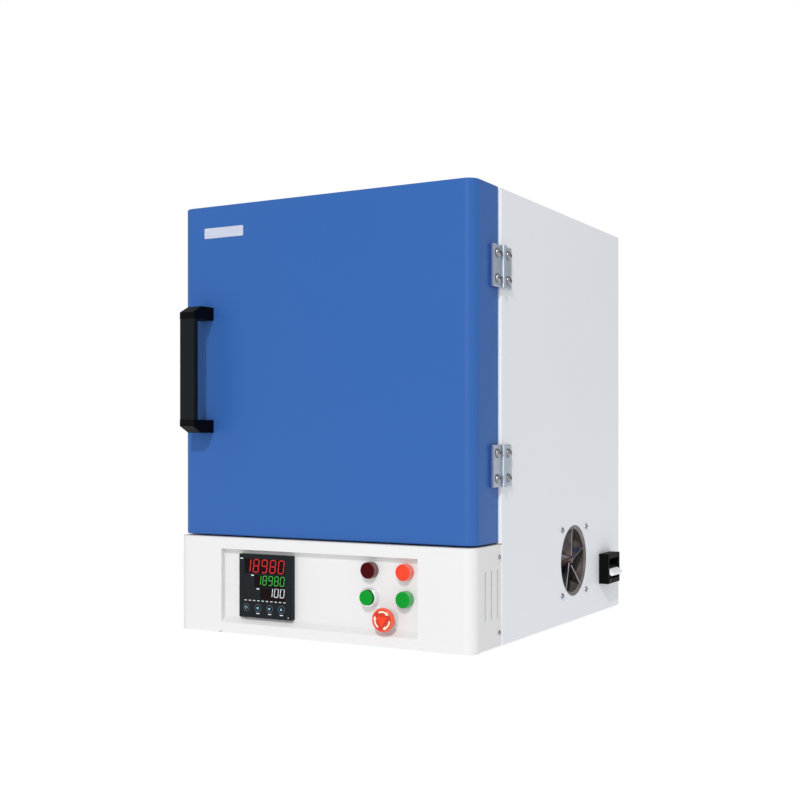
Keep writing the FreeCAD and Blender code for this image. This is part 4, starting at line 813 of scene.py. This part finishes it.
for third in range(3):
    arrow = curved_arrow("stop_arrow_" + str(third + 1), radius=11.9, width=2.4, sweep=62, head=3.3,
                         thickness=0.3)
    spun(arrow, 120 * third + ARROW_TURN)
    stood(arrow, stop_seat + OPERATOR * ARROW_HEIGHT, OPERATOR)
    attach(arrow, frame["nodes"]["stop_head"]["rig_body"])
    coat(arrow, arrow_pale)
coat(merged_copy("stop_stem", "stop_shaft"), rim_red)
coat(merged_copy("stop_collar", "stop_base"), cover_white)


# Fan
# An axial fan behind the round opening: die-cast ring, motor on spokes, five wide pressed blades.
# The ring is brown-grey. The blades are dark navy with brownish patches; a bright metal strip along each
# leading edge is a painted highlight.
def cast_metal(name, colour, warm, metallic, roughness):
    """Cast or pressed metal with a dull coat that is mottled from one tone to a warmer one."""
    metal = Finish(name, {"Metallic": metallic, "Specular IOR Level": 0.4})
    mottle = metal.noise(34.0, 6.0)
    patches = metal.band(mottle, 0.43, 0.57)
    metal.give("Base Color", metal.mix(patches, shade(colour, 0.85), shade(warm, 1.15)))
    metal.give("Roughness", roughness + 0.2 * mottle)
    metal.relief(mottle, 0.1 * MM, 0.4)
    return metal


def fan_blade(name):
    """Pressed blade up the Z axis: an edge drawn out from the hub, widening and turning as it goes."""
    bpy.ops.object.select_all(action="DESELECT")
    bpy.ops.mesh.primitive_plane_add(size=1)
    blade = bpy.context.object
    blade.name = name
    blade.scale = (ROOT_WIDTH, ROOT_LENGTH, 1)
    blade.rotation_euler = (math.pi / 2, 0, 0)
    blade.location = (0, 0, ROOT_OUT)
    bpy.ops.object.transform_apply(location=True, rotation=True, scale=True)
    pick_edges(blade, lambda a, b: min(a.z, b.z) > ROOT_OUT)
    for _ in range(BLADE_STEPS):
        bpy.ops.mesh.extrude_region_move(TRANSFORM_OT_translate={"value": (0, 0, STEP_OUT)})
        bpy.ops.transform.resize(value=(STEP_WIDER, 1, 1), center_override=(0, 0, 0))
        bpy.ops.transform.rotate(value=STEP_TWIST, orient_axis="Z", center_override=(0, 0, 0))
    bpy.ops.object.mode_set(mode="OBJECT")
    return blade


def solid_sheet(piece, thickness):
    """Gives a bent sheet its thickness."""
    alone(piece)
    bpy.ops.object.modifier_add(type="SOLIDIFY")
    piece.modifiers[0].thickness = thickness * MM
    piece.modifiers[0].offset = 0
    bpy.ops.object.modifier_apply(modifier=piece.modifiers[0].name)
    bpy.ops.object.shade_smooth_by_angle(angle=math.radians(35))
    return piece


def blade_highlight_strip(blade, name):
    """The blade's leading edge alone, drawn out to a thin strip that carries a painted highlight."""
    rim = copies(blade, 2)[1]
    rim.name = name
    pick_edges(rim, lambda a, b: a.x > 0 and b.x > 0 and climbs(a, b))
    bpy.ops.mesh.select_all(action="INVERT")
    bpy.ops.mesh.delete(type="EDGE_FACE")
    bpy.ops.mesh.select_all(action="SELECT")
    bpy.ops.mesh.extrude_region_move(TRANSFORM_OT_translate={"value": RIM_REACH})
    bpy.ops.object.mode_set(mode="OBJECT")
    return rim


frame_grey = cast_metal("frame_grey", rgb(112, 106, 104), rgb(112, 106, 104), 0.35, 0.34)
coat(merged_copy("fan_frame", "fan_casting", smooth_below=30), frame_grey)
SHEET_THICKNESS = 1.2 * MM
lip_seat = Vector((cabinet_high.x - SHEET_THICKNESS, fan_centre.y, fan_centre.z))
lip = turned("fan_lip", [(57.4, -0.2), (52.6, -1.4), (51.4, -2.4), (52.0, -3.6), (57.4, -4.4)], sides=96)
set_in(opened(lip), lip_seat, RIGHT, frame_grey, "fan_metal", "fan_frame")

blade_dark = cast_metal("blade_dark", rgb(32, 37, 62), rgb(86, 72, 68), 0.3, 0.26)
# Bright metal for the strip on each blade's leading edge: a painted highlight.
blade_edge_highlight = cast_metal("blade_edge_highlight", rgb(172, 170, 176), rgb(172, 170, 176), 1.0, 0.2)
HUB_DEPTH = 13 * MM
hub_seat = Vector((fan_low.x + HUB_DEPTH, fan_centre.y, fan_centre.z))
hub_cap = turned("fan_hub", [(13.0, 0), (13.0, 9.0), (12.0, 11.6), (8.6, 13.6), (6.4, 14.8), (5.2, 18.0),
                             (4.6, 22.0), (3.8, 22.8), (0.4, 23.0)], sides=48)
set_in(hub_cap, hub_seat, RIGHT, blade_dark, "blade_metal", "fan_impeller")
BLADE_COUNT = 5
BLADE_PITCH = math.radians(44)
BLADE_STATION = 14.5 * MM
ROOT_WIDTH = 15 * MM
ROOT_LENGTH = 3 * MM
ROOT_OUT = 7.5 * MM
BLADE_STEPS = 7
STEP_OUT = 5.9 * MM
STEP_WIDER = 1.12
STEP_TWIST = math.radians(-2.5)
BLADE_THICKNESS = 1.1
RIM_THICKNESS = 1.3
RIM_REACH = (0.8 * MM, 0.2 * MM, 0)
blade_seat = Matrix.Translation(hub_seat + RIGHT * BLADE_STATION)
blade_lean = Matrix.Rotation(BLADE_PITCH, 4, "Z")
first_blade = fan_blade("fan_blade")
# The edge strip carries the painted highlight; the blade under it keeps its dark coat.
first_highlight_strip = solid_sheet(blade_highlight_strip(first_blade, "fan_blade_highlight"), RIM_THICKNESS)
solid_sheet(first_blade, BLADE_THICKNESS)
for first_piece, finish in ((first_blade, blade_dark), (first_highlight_strip, blade_edge_highlight)):
    for number, piece in enumerate(copies(first_piece, BLADE_COUNT)):
        around = Matrix.Rotation(math.radians(90 + 360 / BLADE_COUNT * number), 4, "X")
        piece.matrix_world = blade_seat @ around @ blade_lean
        alone(piece)
        bpy.ops.object.transform_apply(location=True, rotation=True, scale=True)
        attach(piece, frame["nodes"]["fan_impeller"]["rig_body"])
        coat(piece, finish)
        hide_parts("fan_impeller")


# Circuit breaker
# A black moulded box on the side with a white linked lever over a black drum.
# Its test button is round and dark grey.
breaker_black = moulded("breaker_black", rgb(9, 11, 13), 0.5, 1000.0, 0.04)
button_grey = moulded("button_grey", rgb(44, 47, 51), 0.4, 1000.0)
lever_white = moulded("lever_white", rgb(232, 233, 235), 0.35, 1000.0)
coat(merged_copy("breaker_housing", "breaker_box"), breaker_black)
coat(merged_copy("test_button", "breaker_test"), button_grey)
DRUM_OUT = 9 * MM
DRUM_RADIUS = 6 * MM
DRUM_MARGIN = 0.2 * MM
housing_low, housing_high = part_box("breaker_housing")
drum_axis = Vector((cabinet_high.x + DRUM_OUT, 0, (housing_low.z + housing_high.z) / 2))


def lever_part(name, is_drum, finish):
    """The lever's faces of one kind: those of the drum, or those of the bar."""
    part = merged_copy("breaker_lever", name)
    bpy.ops.object.mode_set(mode="EDIT")
    bpy.ops.mesh.select_mode(type="FACE")
    bpy.ops.mesh.select_all(action="DESELECT")
    bpy.ops.object.mode_set(mode="OBJECT")
    for face in part.data.polygons:
        corners = [part.data.vertices[i].co for i in face.vertices]
        out = max(math.hypot(corner.x - drum_axis.x, corner.z - drum_axis.z) for corner in corners)
        face.select = (out < DRUM_RADIUS + DRUM_MARGIN) != is_drum
    bpy.ops.object.mode_set(mode="EDIT")
    bpy.ops.mesh.delete(type="FACE")
    bpy.ops.object.mode_set(mode="OBJECT")
    coat(part, finish)


lever_part("breaker_drum", True, breaker_black)
lever_part("breaker_bar", False, lever_white)


# Door lining
# The steel inner plate closes the pan; a cast refractory plug stands out of it inside a woven gasket.
def refractory(name, colour, grain):
    """Pressed fibre or cast ceramic: chalky, matt, with pores and a few darker flecks."""
    ceramic = Finish(name, {"Specular IOR Level": 0.15})
    pores = ceramic.noise(grain, 5.0)
    inputs = {"Vector": ceramic.place(), "Scale": grain * 0.5}
    flecks = ceramic.node("ShaderNodeTexVoronoi", {}, inputs)
    spots = ceramic.band(flecks, 0.05, 0.25)
    tone = ceramic.mix(pores, shade(colour, 0.88), shade(colour, 1.06))
    ceramic.give("Base Color", ceramic.mix(spots, shade(colour, 0.72), tone))
    ceramic.give("Roughness", 0.86 + 0.1 * pores)
    ceramic.relief(pores, 0.4 * MM, 0.6)
    return ceramic


steel_sheet = plated("steel_sheet", rgb(186, 190, 196), 0.34)
fibre_white = refractory("fibre_white", rgb(232, 228, 218), 220.0)
cast_cream = refractory("cast_cream", rgb(222, 208, 184), 160.0)
gasket_weave = Finish("gasket_weave", {"Specular IOR Level": 0.1, "Roughness": 0.95})
braid = gasket_weave.node("ShaderNodeTexWave", {"bands_direction": "DIAGONAL"},
                          {"Vector": gasket_weave.place(), "Scale": 260.0, "Distortion": 1.5})
gasket_weave.give("Base Color", gasket_weave.mix(braid, rgb(206, 200, 186), rgb(240, 236, 226)))
gasket_weave.relief(braid, 0.5 * MM, 0.8)
for node, finish in (("door_inner_plate", cabinet_white), ("door_insulation", fibre_white),
                     ("door_plug", cast_cream), ("door_gasket", gasket_weave)):
    dress(node, finish)


# Chamber
# Fibre boards in a steel casing line the chamber behind a cast collar; a fired plate lies on its floor.
# The shelf below, the casing's rails and the base pan are plated sheet too.
hearth_buff = refractory("hearth_buff", rgb(206, 178, 142), 260.0)
for node in ("roof_board", "floor_board", "left_board", "right_board", "back_board"):
    dress(node, fibre_white)
dress("throat_collar", cast_cream)
dress("hearth_plate", hearth_buff)
for node in ("inner_casing", "shelf", "casing_rails", "base_pan"):
    dress(node, steel_sheet)


# Heating elements
# Round resistance rod, one length a side, bent by hand round pegs into six runs and oxidised dull grey.
# The rods lie in pockets of the side boards and end in ceramic terminals behind the back board.
def oxidised(name, colour):
    """Heat-resisting alloy after its first firing: a dull grey skin with brownish clouds."""
    skin = Finish(name, {"Metallic": 0.6})
    clouds = skin.noise(45.0, 4.0)
    skin.give("Base Color", skin.mix(clouds, shade(colour, 0.75), rgb(128, 112, 98)))
    skin.give("Roughness", 0.55 + 0.2 * clouds)
    return skin


def bent_rod(name, low, high):
    """One element drawn as a path: level runs joined by half circles, then given its thickness."""
    pitch = (high.z - low.z - 2 * ROD_RADIUS) / (ROD_RUNS - 1)
    bend = pitch / 2
    x = (low.x + high.x) / 2
    front = low.y + ROD_RADIUS + bend
    rear = chamber_rear - REAR_MARGIN - bend
    points = [Vector((x, high.y, low.z + ROD_RADIUS))]
    for run in range(ROD_RUNS - 1):
        turn_y, way = (front, -1) if run % 2 == 0 else (rear, 1)
        middle = low.z + ROD_RADIUS + pitch * run + bend
        for step in range(BEND_STEPS + 1):
            angle = math.pi * (step / BEND_STEPS - 0.5)
            y = turn_y + way * bend * math.cos(angle)
            points.append(Vector((x, y, middle + bend * math.sin(angle))))
    points.append(Vector((x, high.y, high.z - ROD_RADIUS)))
    curve = bpy.data.curves.new(name, "CURVE")
    curve.dimensions = "3D"
    curve.bevel_depth = ROD_RADIUS
    curve.bevel_resolution = 5
    curve.use_fill_caps = True
    path = curve.splines.new("POLY")
    path.points.add(len(points) - 1)
    for knot, point in zip(path.points, points):
        knot.co = (point.x, point.y, point.z, 1)
    rod = bpy.data.objects.new(name, curve)
    bpy.context.scene.collection.objects.link(rod)
    alone(rod)
    bpy.ops.object.convert(target="MESH")
    bpy.ops.object.shade_smooth_by_angle(angle=math.radians(50))
    return bpy.context.object


rod_grey = oxidised("rod_grey", rgb(112, 110, 108))
chamber_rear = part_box("left_board")[1].y
rods_low, rods_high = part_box("heating_elements")
ROD_RADIUS = 3.5 * MM
ROD_RUNS = 6
REAR_MARGIN = 14 * MM
BEND_STEPS = 12
for name, x in (("left_rod", rods_low.x), ("right_rod", rods_high.x - 2 * ROD_RADIUS)):
    rod_low = Vector((x, rods_low.y, rods_low.z))
    rod_high = Vector((x + 2 * ROD_RADIUS, rods_high.y, rods_high.z))
    rod_piece = bent_rod(name, rod_low, rod_high)
    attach(rod_piece, "cabinet")
    coat(rod_piece, rod_grey)
    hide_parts("heating_elements")
ceramic_white = refractory("ceramic_white", rgb(236, 230, 216), 400.0)
for node in ("element_terminals", "thermocouple"):
    dress(node, ceramic_white)


# Flue, gland and feet
# A drawn steel vent tube and a black nylon cable gland pass through the rear sheet.
# Four rubber pads carry the whole.
tube_steel = plated("tube_steel", rgb(170, 168, 164), 0.32)
rubber_black = moulded("rubber_black", rgb(26, 26, 27), 0.75, 500.0)
nylon_black = moulded("nylon_black", rgb(22, 23, 25), 0.42, 900.0)
coat(merged_copy("flue_tube", "vent_tube", smooth_below=30), tube_steel)
coat(merged_copy("cable_gland", "gland_nylon", smooth_below=30), nylon_black)
dress("feet", rubber_black)


# Control gear
# Relay on a finned heatsink, terminal block and the switch bodies, all behind the front cover.
gear = Finish("gear", {"Specular IOR Level": 0.4})
gear.give("Base Color", gear.mix(gear.noise(120.0, 2.0), rgb(60, 62, 66), rgb(96, 98, 102)))
gear.give("Roughness", 0.4 + 0.2 * gear.noise(500.0))
dress("electrics", gear)
dress("switch_bodies", nylon_black)
